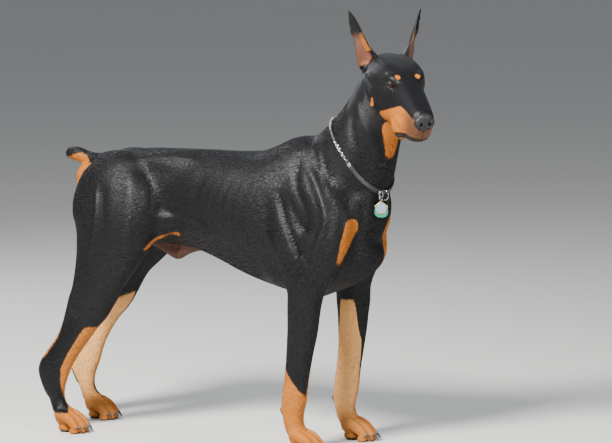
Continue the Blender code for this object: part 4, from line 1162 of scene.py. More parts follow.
def finer_face(obj):
    """Splits the faces round the eyes, nose and mouth, and on the ears, into finer ones."""
    made = bmesh.new()
    made.from_mesh(obj.data)
    places = vertex_places(obj.data)
    own = to_head(places)
    face = (own[:, 0] > -0.035) & (own[:, 2] > -0.105) & (np.abs(own[:, 1]) < 0.07)
    face |= ear_share(places) > 0.5
    made.verts.ensure_lookup_table()
    edges = [e for e in made.edges if face[e.verts[0].index] and face[e.verts[1].index]]
    bmesh.ops.subdivide_edges(made, edges=edges, cuts=1, use_grid_fill=True)
    made.to_mesh(obj.data)
    made.free()
    fine = to_head(vertex_places(obj.data))
    weigh(obj, "Fine", step(fine[:, 0], -0.04, -0.02) * step(fine[:, 2], -0.11, -0.09))
    soften(obj, 3, "Fine")
    fine = to_head(vertex_places(obj.data))
    brow = step(fine[:, 2], 0.006, 0.013) * step(fine[:, 0], -0.045, -0.030) * step(fine[:, 0], 0.034, 0.020)
    weigh(obj, "Brow", brow)
    soften(obj, 30, "Brow")


def body_forms():
    """All forms of the flesh."""
    forms = torso_forms() + [loft(NECK, sides=32), loft(TAIL, front=(0, 0, 1), cap=0.7)]
    forms += foreleg_forms(-1) + foreleg_forms(1, FAR_FORE)
    forms += hindleg_forms(-1) + hindleg_forms(1, FAR_KNEE, FAR_HIND)
    forms += head_forms() + ear_forms(1) + ear_forms(-1)
    return forms


def remeshed(obj, grain):
    """Makes one closed skin of an object's loose forms, with cells of that size."""
    made = obj.modifiers.new("One skin", "REMESH")
    made.mode = "VOXEL"
    made.voxel_size = grain
    return applied(obj)


def build_skin(sizes):
    """The whole skin, from one ear's tip to the toes, without a seam."""
    obj = remeshed(joined("skin", body_forms()), sizes.voxel)
    # A round of smoothing on finer cells reaches less far, so there are more of them
    finer = (0.0027 / sizes.voxel) ** 2
    weigh(obj, "Soft", smoothing_weights(vertex_places(obj.data)))
    soften(obj, 3 * finer)
    soften(obj, 150 * finer, "Soft")
    places = vertex_places(obj.data)
    places[:, 2] = np.maximum(places[:, 2], 0.0)
    set_places(obj.data, places)
    finer_face(obj)
    places = vertex_places(obj.data)
    tree = tree_of(obj.data)
    relief = side_relief(places) + line_relief(places, BREAST_LINES, tuple) + face_relief(places)
    mouth, _ = reach_of_path(places, mouth_path(tree))
    relief -= MOUTH_DEPTH * ridge(mouth, 0.0017)
    relief += LIP_RIDGE * ridge(mouth - 0.0045, 0.0025)
    philtrum, _ = reach_of_path(places, philtrum_path(tree))
    relief -= PHILTRUM_DEPTH * ridge(philtrum, 0.0013)
    # The bridge and the upper lip swell a little where they meet the nose
    nose = np.linalg.norm(to_head(places) - np.array(NOSE_AT), axis=1)
    relief += NOSE_SWELL * step(nose, 0.036, 0.024)
    # The coat is thinner on the ears, the feet and the face
    depth = sizes.coat_depth * (1 - 0.75 * ear_share(places)) * (1 - 0.5 * step(places[:, 2], 0.09, 0.05))
    depth *= 1 - 0.6 * near(places, head_matrix() @ Vector((0.040, 0, -0.02)), 0.10, 0.05)
    places += vertex_normals(obj.data) * (relief - depth)[:, None]
    places[:, 2] = np.maximum(places[:, 2], 0.0002)
    set_places(obj.data, places)
    open_lids(obj)
    return smoothed(obj)


# Upper edge of the tan on the side of the muzzle, in the head's own frame: (x, z)
MUZZLE_EDGE = in_metres(((-30, -84), (30, -38), (67, -11), (92, -7.5), (125, -8)))
PIP_AT = (0.0040, 0.0225, 0.0226)
PIP_RADII = (0.0125, 0.0108, 0.0115)
CHEEK_SPOT_AT = (-0.0370, 0.0525, -0.0620)
CHEEK_SPOT_RADII = (0.0065, 0.0300, 0.0165)

# Height of the tan on a foreleg: at its front and rear on the outside, and on the inside
FORE_TAN_FRONT = 0.138
FORE_TAN_REAR = 0.192
FORE_TAN_INSIDE = 0.335
HIND_TAN_OUTSIDE = 0.262
HIND_TAN_INSIDE = 0.285
FRONT_STRIP = 0.020

# Middle of the near foreleg by height, how far the far hind leg is shifted by height, and the
# height of the tail's axis by how far back it is: rows of both
FORE_MIDDLE = ((0.04, 0.09, 0.225, 0.335, 0.50), (0.230, 0.220, 0.237, 0.248, 0.285))
FAR_HIND_SHIFT = ((0.09, 0.19, 0.26, 0.40, 0.55), (FAR_HIND, -0.034, FAR_KNEE, FAR_KNEE, -0.01))
TAIL_AXIS = ((0.325, 0.362, 0.398, 0.420), (0.640, 0.6455, 0.6545, 0.655))

# Front edge and rear edge of the near hind leg by height: (z, front x, rear x)
SHIN_OUTLINE = in_metres((
    (42, -340, -410),
    (85, -364, -432),
    (120, -366, -448),
    (155, -362, -455),
    (190, -344, -428),
    (225, -319, -403),
    (262, -291, -388),
    (300, -262, -378),
    (352, -229, -362),
    (444, -170, -352),
))

# Tan places of the body that aren't alike on both sides: a path, and its radius at its start and end
TAN_PATHS = in_metres((
    # Breast, on the dog's right and left
    (((367, -92, 523), (353, -103, 490), (342, -112, 448)), 21.5, 6),
    (((404, 34, 512), (404, 36, 485), (400, 34, 450)), 34, 20),
    # Under the tail and down between the thighs
    (((-380, 0, 626), (-376, 0, 600), (-372, 0, 575)), 34, 40),
    # Throat under the jaw
    (((433, -30, 742), (433, -27, 715), (432, -27, 694)), 25, 16),
))
GROIN_EDGE = in_metres(((-205, 98, 422), (-165, 100, 450), (-130, 78, 474), (-92, 64, 484)))
SHEATH = in_metres(((-205, 0, 452), (-150, 0, 436), (-105, 0, 436), (-60, 0, 448)))


def leg_offset(places, side, fore):
    """How far forward and outward each place is from the middle of a leg."""
    z = places[:, 2]
    if fore:
        middle = np.interp(z, *FORE_MIDDLE)
        middle = middle + (FAR_FORE if side > 0 else 0.0)
        spread = FORE_SPREAD
    else:
        heights, fronts, rears = np.array(SHIN_OUTLINE).T
        middle = (np.interp(z, heights, fronts) + np.interp(z, heights, rears)) / 2
        if side > 0:
            middle = middle + np.interp(z, *FAR_HIND_SHIFT)
        spread = HIND_SPREAD
    return places[:, 0] - middle, places[:, 1] * side - spread


def on_leg(places, side, fore):
    """1 on one leg, and 0 off it."""
    x, y, z = places.T
    if fore:
        return (y * side > 0) & (x > 0.12) & (z < 0.46)
    return (y * side > 0.0) & (x < -0.12) & (z < 0.60)


def leg_tan(places):
    """How tan each place of the legs is."""
    z = places[:, 2]
    found = np.zeros(len(places))
    for side in (-1, 1):
        ahead, outward = leg_offset(places, side, True)
        slope = (FORE_TAN_REAR - FORE_TAN_FRONT) / 0.050
        outside = (FORE_TAN_FRONT + FORE_TAN_REAR) / 2 - ahead * slope
        inside = FORE_TAN_INSIDE - step(ahead, 0.006, 0.030) * 0.090
        edge = inside + (outside - inside) * step(outward, -0.014, 0.006)
        tan = step(edge - z, -0.007, 0.009)
        # On the far foreleg alone, a dark strip is painted down the rear edge above the pastern: painted
        # shadow, meeting the black of the outer side above its tan line
        if side > 0:
            tan *= 1 - step(ahead, -0.024, -0.032) * step(z, 0.085, 0.105)
        found = np.maximum(found, tan * on_leg(places, side, True))

        ahead, outward = leg_offset(places, side, False)
        heights, fronts, rears = np.array(SHIN_OUTLINE).T
        half = (np.interp(z, heights, fronts) - np.interp(z, heights, rears)) / 2
        strip = step(ahead - (half - FRONT_STRIP), -0.004, 0.005) * step(HIND_TAN_OUTSIDE - z, -0.010, 0.020)
        inner = step(outward, 0.004, -0.008) * step(HIND_TAN_INSIDE + ahead * 0.5 - z, -0.014, 0.014)
        inner *= 1 - step(ahead, -half + 0.016, -half + 0.008) * step(z, 0.230, 0.200)
        heel = step(ahead, -half + 0.012, -half + 0.006) * step(z, 0.166, 0.180) * step(z, 0.275, 0.240)
        foot = step(0.048 - z, -0.012, 0.012)
        tan = np.maximum.reduce([strip, inner, heel * 0.6, foot])
        found = np.maximum(found, tan * on_leg(places, side, False))
    return found


def head_share(places):
    """1 on the head and 0 on the neck and body."""
    return ((places[:, 2] > 0.700) & (places[:, 0] > 0.33)).astype(float)


def up_neck(places):
    """How far up the line of the neck each place is."""
    return places[:, 0] * 0.62 + places[:, 2] * 0.78


def head_tan(own):
    """How tan each place of the head is, in its own frame."""
    x, y, z = own.T
    edge_x, edge_z = np.array(MUZZLE_EDGE).T
    # Under the jaw the tan ends further forward the lower it is
    rear = -0.019 + np.clip(-0.082 - z, 0.0, 0.05) * 0.80
    found = step(np.interp(x, edge_x, edge_z) - z, -0.0050, 0.0050) * step(x - rear, -0.005, 0.005)
    found *= step(z, -0.124, -0.114) * (np.abs(y) < 0.056)
    for side in (-1, 1):
        mirror = own * (1, side, 1)
        pip = lump(mirror, PIP_AT, PIP_RADII)
        spot = lump(mirror, CHEEK_SPOT_AT, CHEEK_SPOT_RADII)
        found = np.maximum(found, np.maximum(step(pip, 0.00, 1.00), step(spot, 0.00, 0.60)))
    return found


def lips(own):
    """1 on the dark lower lip, from under the line of the mouth to the chin."""
    line_x, line_z = np.array(MOUTH_LINE).T
    under = np.interp(own[:, 0], line_x, line_z) - own[:, 2]
    deep = 0.0120 + 0.0100 * step(own[:, 0], 0.075, 0.055)
    band = step(under, -0.0022, -0.0004) * step(under - deep, 0.0, -0.004)
    return band * step(own[:, 0], MOUTH_LINE[0][0] - 0.010, MOUTH_LINE[0][0] - 0.004)


def ear_place(own, side):
    """Share of the way up an ear, how far across it and how deep in its cup, with its facing."""
    base, axis, length, face, outer = ear_frame(side)
    off = own - np.array(base)
    return off @ np.array(axis) / length, off @ np.array(outer), off @ np.array(face), face


def tan_of(places, own, on_head):
    """How tan each place of the skin is, apart from the ears."""
    x, z = places[:, 0], places[:, 2]
    tan = np.maximum(leg_tan(places) * (1 - on_head), head_tan(own) * on_head)
    for path, start, end in TAN_PATHS:
        reach, share = reach_of_path(places, path)
        radius = start + (end - start) * share
        tan = np.maximum(tan, step(radius - reach, -0.004, 0.004))
    for side in (-1, 1):
        reach, _ = reach_of_path(places * (1, side, 1), GROIN_EDGE)
        tan = np.maximum(tan, step(0.0065 - reach, -0.004, 0.004) * 0.85)
    axis = np.interp(-x, *TAIL_AXIS)
    under_tail = step(axis - 0.007 - z, -0.002, 0.003) * (x < -0.340) * step(x, -0.418, -0.408)
    return np.maximum(tan, under_tail * (z > 0.62))


def sand_of(places):
    """How pale the tan is: more so inside the legs and less so at the feet."""
    z = places[:, 2]
    sand = step(z, 0.42, 0.30) * 0.75
    inside = np.zeros(len(places))
    for side in (-1, 1):
        for fore in (True, False):
            _, outward = leg_offset(places, side, fore)
            inside = np.maximum(inside, on_leg(places, side, fore) * step(outward, 0.008, -0.012))
    sand = np.maximum(sand * 0.10, sand * inside * 1.3)
    return sand * (step(z, 0.030, 0.110) * 0.8 + 0.2)


def bare_of(places, own, normals, on_head):
    """1 on the pads, the lips, the rims of the eyes and the skin behind the nose."""
    pads = step(places[:, 2], 0.0085, 0.0045) * step(normals[:, 2], -0.30, -0.60)
    nose = np.linalg.norm(own - np.array(NOSE_AT), axis=1)
    bare = np.maximum.reduce([pads, lips(own) * on_head, step(nose, 0.0215, 0.0185) * on_head])
    for side in (-1, 1):
        shift = FAR_FORE if side > 0 else 0.0
        stopper = lump(places, (0.190 + shift, side * FORE_SPREAD, 0.094), (0.012, 0.012, 0.012))
        bare = np.maximum(bare, step(stopper, 0.05, 0.3))
        at, look, across, up = (np.array(v) for v in eye_frame(side))
        off = own - at
        rim = np.hypot(off @ across / HALF_LENGTH, off @ up / HALF_HEIGHT)
        bare = np.maximum(bare, step(rim, 1.55, 1.20) * (off @ look > 0.002) * (np.abs(rim) < 2))
    return bare


def markings(places, normals):
    """Shares of tan, pale tan, dusk, bare skin and pink at each place of the skin."""
    own = to_head(places)
    turn = np.array(head_matrix().inverted())[:3, :3] * HEAD_SIZE
    own_normals = normals @ turn.T
    on_head = head_share(places)
    tan, sand = tan_of(places, own, on_head), sand_of(places)
    bare = bare_of(places, own, normals, on_head)
    dusk = step(own[:, 0], 0.070, 0.124) * on_head * 0.8
    dusk = np.maximum(dusk, step(own[:, 2], -0.060, -0.078) * step(own[:, 0], 0.03, 0.08) * on_head * 0.5)
    reach, _ = reach_of_path(places, SHEATH)
    pink = step(0.027 - reach, -0.004, 0.006) * step(places[:, 2], 0.462, 0.448) * 0.42
    # In each ear: a strip of tan hair along its front, a tuft at its base, and pink skin beside them
    for side in (-1, 1):
        high, across, _, face = ear_place(own, side)
        own_side = (own[:, 1] * side > 0.02) & (own[:, 0] < -0.07) & (own[:, 2] > -0.045)
        inner = own_side * step(own_normals @ np.array(face), 0.05, 0.45) * (high > -0.05)
        inner *= step(np.abs(across), 0.026, 0.018)
        strip = inner * step(across, -0.003, 0.003) * step(high, 0.66, 0.50) * step(high, 0.20, 0.30)
        tuft = inner * step(high, 0.16, 0.08) * step(high, 0.02, 0.06) * step(across, 0.002, -0.006)
        flesh = inner * (1 - strip) * step(high, 0.66, 0.40) * step(high, 0.02, 0.10)
        flesh *= step(across, 0.010, 0.002)
        pink = np.maximum(pink, flesh * 0.72)
        tan = np.maximum(tan, np.maximum(strip * 0.95, tuft * 0.52))
        sand = np.maximum(sand, tuft * 0.4)
        dusk = np.maximum(dusk, inner * step(high, 0.30, 0.66) * 0.85)
    return {"tan": tan, "sand": sand, "dusk": dusk, "bare": bare, "pink": pink}


def fur_of_head(places, own):
    """1 where the hair lies as it does on the head."""
    return head_share(places) * step(own[:, 2], -0.130, -0.105)


def lie(places):
    """The way the coat lies at each place, from root to tip."""
    own = to_head(places)
    x, _, z = places.T
    found = np.tile(np.array((-0.92, 0.0, -0.38)), (len(places), 1))
    matrix = np.array(head_matrix().to_3x3()) / HEAD_SIZE
    # Neck, breast, forelegs, thighs, shins, feet, tail and head: where, and the way the coat lies there
    ways = [
        (step(up_neck(places), 0.68, 0.74) * step(x, 0.20, 0.28), (-0.56, 0.0, -0.83)),
        (step(x, 0.30, 0.37) * step(z, 0.70, 0.62), (-0.15, 0.0, -0.99)),
        (step(z, 0.50, 0.42) * step(x, 0.12, 0.16), (-0.05, 0.0, -1.0)),
        (step(x, -0.16, -0.22) * step(z, 0.62, 0.54), (-0.28, 0.0, -0.96)),
        (step(x, -0.16, -0.20) * step(z, 0.36, 0.30), (-0.40, 0.0, -0.92)),
        (step(z, 0.09, 0.05), (0.60, 0.0, -0.80)),
        (step(x, -0.350, -0.365) * step(z, 0.615, 0.630), (-1.0, 0.0, 0.15)),
        (fur_of_head(places, own), matrix @ np.array((-0.97, 0.0, -0.22))),
    ]
    for side in (-1, 1):
        on_ear = ear_share(places) * (own[:, 1] * side > 0)
        ways.append((on_ear, matrix @ np.array(ear_frame(side)[1])))
    for share, way in ways:
        found = found * (1 - share[:, None]) + np.asarray(way, float) * share[:, None]
    return found / np.linalg.norm(found, axis=1)[:, None]


def dress(mesh, places, normals):
    """Stores the markings and the way of the coat on a mesh's vertices."""
    for name, values in markings(places, normals).items():
        store(mesh, name, values)
    store(mesh, "of_head", fur_of_head(places, to_head(places)))
    store(mesh, "of_neck", step(up_neck(places), 0.68, 0.74))
    store(mesh, "of_legs", np.maximum(step(places[:, 2], 0.50, 0.42), step(places[:, 0], 0.32, 0.37)))


class Tree:
    """A node tree being built, with short ways to add nodes and to join them."""

    def __init__(self, nodes):
        self.tree = nodes

    def link(self, source, target):
        """Joins two sockets."""
        self.tree.links.new(source, target)

    def add(self, kind, links=None, **settings):
        """A node with its settings, and its inputs linked or set by name or number."""
        node = self.tree.nodes.new(kind)
        for name, value in settings.items():
            setattr(node, name, value)
        for name, value in (links or {}).items():
            if isinstance(value, bpy.types.NodeSocket):
                self.link(value, node.inputs[name])
            else:
                node.inputs[name].default_value = value
        return node

    def math(self, operation, first, second=0.0, third=0.0, clamp=False):
        """The outcome of a sum on numbers or sockets."""
        links = {0: first, 1: second, 2: third}
        return self.add("ShaderNodeMath", links, operation=operation, use_clamp=clamp).outputs[0]

    def ranged(self, value, low, high):
        """0 at low and 1 at high."""
        return self.add("ShaderNodeMapRange", {0: value, 1: low, 2: high}).outputs[0]

    def mix(self, share, first, second, blend="MIX"):
        """A mix of two colours, each a socket or three numbers."""
        first, second = (v if isinstance(v, bpy.types.NodeSocket) else rgba(v) for v in (first, second))
        links = {0: share, 6: first, 7: second}
        return self.add("ShaderNodeMix", links, data_type="RGBA", blend_type=blend).outputs[2]

    def blend(self, share, first, second):
        """A mix of two numbers."""
        return self.add("ShaderNodeMix", {0: share, 2: first, 3: second}, data_type="FLOAT").outputs[0]

    def darker(self, colour, shade):
        """A colour times a number."""
        tone = self.add("ShaderNodeCombineColor", {0: shade, 1: shade, 2: shade}).outputs[0]
        return self.mix(1.0, colour, tone, "MULTIPLY")

    def noise(self, scale, detail=2.0, vector=None, roughness=0.5):
        """Values of a noise, on the object's own coordinates where no others are given."""
        if vector is None:
            vector = self.add("ShaderNodeTexCoord").outputs["Object"]
        links = {"Vector": vector, "Scale": scale, "Detail": detail, "Roughness": roughness}
        return self.add("ShaderNodeTexNoise", links).outputs["Fac"]

    def wear(self, shader, colour, roughness, values=None):
        """Joins a colour and a roughness to a shader, and sets its other values by name."""
        self.link(colour, shader.inputs["Base Color"])
        self.link(roughness, shader.inputs["Roughness"])
        for name, value in (values or {}).items():
            shader.inputs[name].default_value = value

    def bump(self, shader, height, strength, distance):
        """Bends a shader's normals by a height."""
        links = {"Height": height, "Strength": strength, "Distance": distance}
        self.link(self.add("ShaderNodeBump", links).outputs[0], shader.inputs["Normal"])


def new_group(name, inputs, outputs):
    """A shader node group with its inputs and outputs, or the one made before."""
    old = bpy.data.node_groups.get(name)
    if old:
        return old, None, None, None
    group = bpy.data.node_groups.new(name, "ShaderNodeTree")
    for title, kind, default in inputs:
        made = group.interface.new_socket(name=title, in_out="INPUT", socket_type=kind)
        made.default_value = default
    for title, kind in outputs:
        group.interface.new_socket(name=title, in_out="OUTPUT", socket_type=kind)
    tree = Tree(group)
    return group, tree, tree.add("NodeGroupInput").outputs, tree.add("NodeGroupOutput").inputs


def lying_hair():
    """Hair that lies along one direction: fine strands, and the small locks that they gather in."""
    number, vector = "NodeSocketFloat", "NodeSocketVector"
    inputs = [("Turn", vector, (0, 0, 0)), ("Fineness", number, 1.0)]
    group, tree, given, out = new_group("Lying hair", inputs, [("Height", number)])
    if tree is None:
        return group
    place = tree.add("ShaderNodeTexCoord").outputs["Object"]
    heights = []
    for along, across, share in ((0.0140, 0.0011, 0.38), (0.0070, 0.0030, 0.62)):
        links = {"Vector": place, "Rotation": given["Turn"], "Scale": (along, across, across)}
        turned = tree.add("ShaderNodeMapping", links, vector_type="TEXTURE")
        noise = tree.noise(given["Fineness"], 1.5, turned.outputs[0], 0.55)
        heights.append(tree.math("MULTIPLY", noise, share))
    tree.link(tree.math("ADD", *heights), out["Height"])
    return group


COAT_SHARES = ("Tan", "Sand", "Dusk", "Bare", "Pink")
COAT_COLOURS = {
    "Black coat": "black",
    "Bloom": "bloom",
    "Rust": "rust",
    "Pale tan": "sand",
    "Leather": "bare",
    "Flesh": "pink",
}


def coat_colours():
    """Black and tan hair with blue-grey specks of painted sheen on the black, broken edges between them,
    bare leather and thinly haired skin.
    """
    number, colour = "NodeSocketFloat", "NodeSocketColor"
    inputs = [(name, number, 0.0) for name in COAT_SHARES]
    inputs += [(name, colour, (0, 0, 0, 1)) for name in COAT_COLOURS]
    group, tree, given, out = new_group("Coat colours", inputs, [("Colour", colour), ("Roughness", number)])
    if tree is None:
        return group
    coarse = tree.noise(240.0, 3.0)
    fine = tree.noise(900.0, 2.0)
    broad = tree.noise(14.0, 2.0)
    ragged = tree.math("ADD", tree.math("MULTIPLY_ADD", coarse, 0.55, -0.275), given["Tan"])
    share = tree.ranged(ragged, 0.36, 0.64)
    # Lighter blue-grey specks on the black hair: painted sheen
    sheen_flecks = tree.ranged(fine, 0.45, 0.75)
    black = tree.mix(tree.math("MULTIPLY", sheen_flecks, 0.45), given["Black coat"], given["Bloom"])
    tan = tree.mix(given["Sand"], given["Rust"], given["Pale tan"])
    shade = tree.math("MULTIPLY_ADD", fine, 1.10, 0.42)
    shade = tree.math("MULTIPLY", shade, tree.math("MULTIPLY_ADD", broad, 0.5, 0.75))
    tan = tree.darker(tan, shade)
    # Where dusk is, the tan is darkened towards the same blue-grey as the painted sheen
    dusk = tree.math("MULTIPLY", given["Dusk"], tree.math("MULTIPLY_ADD", coarse, 0.8, 0.55, clamp=True))
    tan = tree.mix(dusk, tan, given["Bloom"])
    coat = tree.mix(share, black, tan)
    coat = tree.mix(tree.math("MULTIPLY", given["Pink"], 0.9), coat, given["Flesh"])
    coat = tree.mix(given["Bare"], coat, given["Leather"])
    tree.link(coat, out["Colour"])
    rough = tree.math("MULTIPLY_ADD", share, 0.16, 0.40)
    rough = tree.math("MULTIPLY_ADD", given["Bare"], 0.06, rough)
    tree.link(tree.math("MULTIPLY_ADD", fine, 0.10, tree.math("SUBTRACT", rough, 0.05)), out["Roughness"])
    return group


def new_material(name):
    """An empty Principled material: (material, its tree, its shader)."""
    made = bpy.data.materials.new(name)
    made.use_nodes = True
    return made, Tree(made.node_tree), made.node_tree.nodes["Principled BSDF"]


def rgba(colour):
    """A colour with full alpha."""
    return (*colour, 1.0)


def tint(colour, times, more=0.0):
    """A lighter or a darker colour."""
    return tuple(min(1.0, c * times + more) for c in colour)


def attribute(tree, name):
    """A number stored on the mesh."""
    return tree.add("ShaderNodeAttribute", attribute_name=name).outputs["Fac"]


# Degrees about y that the strands are turned by on the trunk, the neck and the legs
HAIR_TURNS = (("", -22), ("of_neck", -56), ("of_legs", -82))


def coat_material(name, colours, with_bump):
    """The short glossy coat, as the skin and the tufts wear it."""
    made, tree, shader = new_material(name)
    group = tree.add("ShaderNodeGroup", node_tree=coat_colours())
    for title in COAT_SHARES:
        tree.link(attribute(tree, title.lower()), group.inputs[title])
    for title, word in COAT_COLOURS.items():
        group.inputs[title].default_value = rgba(getattr(colours, word))
    colour = group.outputs["Colour"]
    if not with_bump:
        colour = tree.darker(colour, tree.math("MULTIPLY_ADD", attribute(tree, "shade"), 0.5, 0.75))
    values = {
        "Specular IOR Level": 0.38,
        "IOR": 1.36,
        "Sheen Weight": 0.006,
        "Sheen Roughness": 0.45,
        "Sheen Tint": (0.70, 0.78, 1.0, 1.0),
    }
    tree.wear(shader, colour, group.outputs["Roughness"], values)
    if not with_bump:
        return made
    ways = [(title, (0.0, math.radians(turn), 0.0)) for title, turn in HAIR_TURNS]
    ways.append(("of_head", tuple(head_matrix().to_euler())))
    height = None
    for title, turn in ways:
        links = {"Turn": turn, "Fineness": 1.0}
        hair = tree.add("ShaderNodeGroup", links, node_tree=lying_hair()).outputs[0]
        height = tree.blend(attribute(tree, title), height, hair) if title else hair
    grain = tree.noise(420.0, 3.0)
    tree.bump(shader, tree.blend(attribute(tree, "bare"), height, grain), 0.85, 0.0018)
    return made


# Pieces of the coat: name, share of the full density, and length beside the trunk's
COAT_PIECES = (
    ("coat_head", 1.7, 0.42),
    ("coat_neck", 1.0, 0.90),
    ("coat_side_left", 1.0, 1.0),
    ("coat_side_right", 1.0, 1.0),
    ("coat_forelegs", 1.2, 0.72),
    ("coat_hindleg_left", 1.1, 0.80),
    ("coat_hindleg_right", 1.1, 0.80),
)
TUFT_SEED = 7
# A tuft's lift at its tip beside its length, and its height and sinking at the root beside its width
TUFT_LIFT = 0.085
TUFT_HIGH = 0.75
TUFT_SUNK = 0.35
# Size of a tuft's patch on the unwrap
PATCH = 0.0030


def coat_piece_of(places):
    """Which piece of the coat each place belongs to, as a number."""
    x, y, z = places.T
    found = np.where(y > 0, 2, 3)
    found = np.where(up_neck(places) > 0.715, 1, found)
    found = np.where((x > 0.12) & (z < 0.395), 4, found)
    found = np.where((x < -0.13) & (z < 0.50), np.where(y > 0, 5, 6), found)
    return np.where(head_share(places) * (to_head(places)[:, 2] > -0.130) > 0.5, 0, found)


def turn_share(across, ahead):
    """The angle of a spot as a share of a full turn."""
    return np.arctan2(across, ahead) / (2 * math.pi) + 0.5


def chart(places, piece):
    """Each place's spot on an unwrap of its piece of the skin, from 0 to 1 both ways."""
    x, y, z = places.T
    if piece == 0:
        own = to_head(places)
        u = turn_share(own[:, 1], own[:, 2] + 0.035)
        v = np.interp(own[:, 0], (-0.150, 0.150), (0.0, 0.70))
        for side in (-1, 1):
            up_ear, across, deep, _ = ear_place(own, side)
            leaf = (ear_share(places) > 0.5) & (own[:, 1] * side > 0)
            u = np.where(leaf, turn_share(across, deep + 0.006) * 0.49 + (0.5 if side > 0 else 0.0), u)
            v = np.where(leaf, 0.72 + 0.27 * np.clip(up_ear, 0, 1.05) / 1.05, v)
        return u, v
    if piece == 1:
        along = (x - 0.30) * 0.40 + (z - 0.60) * 0.92
        middle = 0.300 + along * 0.40
        return turn_share(y, x - middle), np.interp(along, (-0.12, 0.27), (0, 1))
    if piece in (2, 3):
        turn = np.arctan2(np.abs(y), z - 0.56) / math.pi
        return np.interp(x, (-0.43, 0.45), (0, 1)), np.clip(turn, 0, 1)
    left = y > 0
    fore = piece == 4
    near_leg, far_leg = leg_offset(places, -1, fore), leg_offset(places, 1, fore)
    ahead, outward = (np.where(left, far, close) for close, far in zip(near_leg, far_leg))
    turn = turn_share(outward, ahead)
    if fore:
        turn = turn * 0.49 + np.where(left, 0.5, 0.0)
    return turn, np.interp(z, (0.0, 0.52), (0, 1))


def scattered(mesh, density, rng):
    """Roots scattered over a mesh by area and a density at each corner: places and normals."""
    mesh.calc_loop_triangles()
    count = len(mesh.loop_triangles)
    corners = np.empty(count * 3, np.int32)
    mesh.loop_triangles.foreach_get("vertices", corners)
    corners = corners.reshape(-1, 3)
    places, normals = vertex_places(mesh), vertex_normals(mesh)
    a, b, c = (places[corners[:, k]] for k in range(3))
    area = np.linalg.norm(np.cross(b - a, c - a), axis=1) / 2
    weight = area * density[corners].mean(axis=1)
    total = np.cumsum(weight)
    wanted = int(total[-1])
    picks = np.searchsorted(total, (np.arange(wanted) + rng.random(wanted)) * (total[-1] / wanted))
    picks = np.clip(picks, 0, count - 1)
    u, v = rng.random(wanted), rng.random(wanted)
    fold = u + v > 1
    u[fold], v[fold] = 1 - u[fold], 1 - v[fold]
    w = 1 - u - v
    share = np.stack([w, u, v], axis=1)[:, :, None]
    roots = (places[corners[picks]] * share).sum(axis=1)
    out = (normals[corners[picks]] * share).sum(axis=1)
    return roots, out / np.linalg.norm(out, axis=1)[:, None]


def tuft_lengths(places, normals, base):
    """How long a tuft is at each place: shortest on the face and feet, longest behind the thighs."""
    own = to_head(places)
    x, _, z = places.T
    length = base * np.ones(len(places))
    length *= 1 - 0.45 * (step(own[:, 0], -0.03, 0.06) * head_share(places))
    length *= 1 - 0.35 * step(z, 0.12, 0.05)
    behind = step(normals[:, 0], -0.45, -0.8) * step(x, -0.28, -0.32) * step(z, 0.28, 0.36)
    length *= 1 + 0.35 * behind
    tail_end = step(x, -0.385, -0.405) * (z > 0.6)
    return length * (1 + 0.15 * tail_end)


def build_tufts(skin_mesh, tree, number, sizes, rng):
    """One piece of the coat: closed slivers that lie along the body, in one mesh."""
    name, dense, long = COAT_PIECES[number]
    places = vertex_places(skin_mesh)
    mine = coat_piece_of(places) == number
    density = sizes.tufts_dense * dense * mine * (1 - markings_bare(places))
    roots, out = scattered(skin_mesh, density, rng)
    count = len(roots)
    way = lie(roots) + rng.normal(0, 0.10, (count, 3))
    way -= out * (way * out).sum(axis=1)[:, None]
    way /= np.maximum(np.linalg.norm(way, axis=1), 1e-6)[:, None]
    length = tuft_lengths(roots, out, sizes.tuft_length * long) * rng.uniform(0.7, 1.25, count)
    side = np.cross(way, out)
    wide = sizes.tuft_width * rng.uniform(0.7, 1.2, count) * (0.55 if number == 0 else 1.0) / 2
    lift = rng.uniform(0.25, 1.0, count) * length * TUFT_LIFT
    tips = roots + way * length[:, None]
    for i in range(count):
        hit, normal, _, _ = tree.find_nearest(Vector(tips[i]))
        tips[i] = hit + normal * lift[i]
    high = wide * TUFT_HIGH
    sunk = out * (wide * TUFT_SUNK)[:, None]
    left = roots - side * wide[:, None] - sunk
    right = roots + side * wide[:, None] - sunk
    crest = roots + way * (length * 0.30)[:, None] + out * (high + lift * 0.3)[:, None]
    corners = np.stack([left, right, crest, tips], axis=1).reshape(-1, 3)
    first = (np.arange(count) * 4)[:, None]
    pattern = np.array((0, 2, 3, 1, 3, 2, 0, 1, 2, 0, 3, 1))
    faces = (first + pattern[None, :]).reshape(-1)
    mesh = bpy.data.meshes.new(name)
    mesh.vertices.add(count * 4)
    mesh.vertices.foreach_set("co", corners.astype(np.float32).ravel())
    mesh.loops.add(count * 12)
    mesh.loops.foreach_set("vertex_index", faces.astype(np.int32))
    mesh.polygons.add(count * 4)
    mesh.polygons.foreach_set("loop_start", np.arange(count * 4, dtype=np.int32) * 3)
    mesh.update()
    mesh.validate()
    mesh.shade_smooth()
    layer = mesh.uv_layers.new(name="OFBake")
    u, v = chart(roots, number)
    spot = np.stack([u, v], axis=1) * (1 - 2 * PATCH) + PATCH
    shape = np.array(((-0.5, -0.5), (0.5, -0.5), (0.0, -0.1), (0.0, 0.5))) * PATCH
    flat = (spot[:, None, :] + shape[None, :, :]).reshape(-1, 2)
    layer.data.foreach_set("uv", flat[faces].astype(np.float32).ravel())
    for title, values in markings(roots, out).items():
        store(mesh, title, np.repeat(values, 4))
    store(mesh, "shade", np.repeat(rng.random(count), 4))
    return new_object(name, mesh)


def markings_bare(places):
    """1 where no tuft grows: round the eyes, on the nose and under the feet."""
    own = to_head(places)
    bare = step(places[:, 2], 0.010, 0.006)
    for side in (-1, 1):
        eye = np.linalg.norm(own - np.array(on_side(EYE_AT, side)), axis=1)
        bare = np.maximum(bare, step(eye, 0.0175, 0.0150))
    nose = np.linalg.norm((own - np.array(NOSE_AT)) / (1.0, 1.1, 1.0), axis=1)
    return np.maximum(bare, step(nose, 0.019, 0.016))


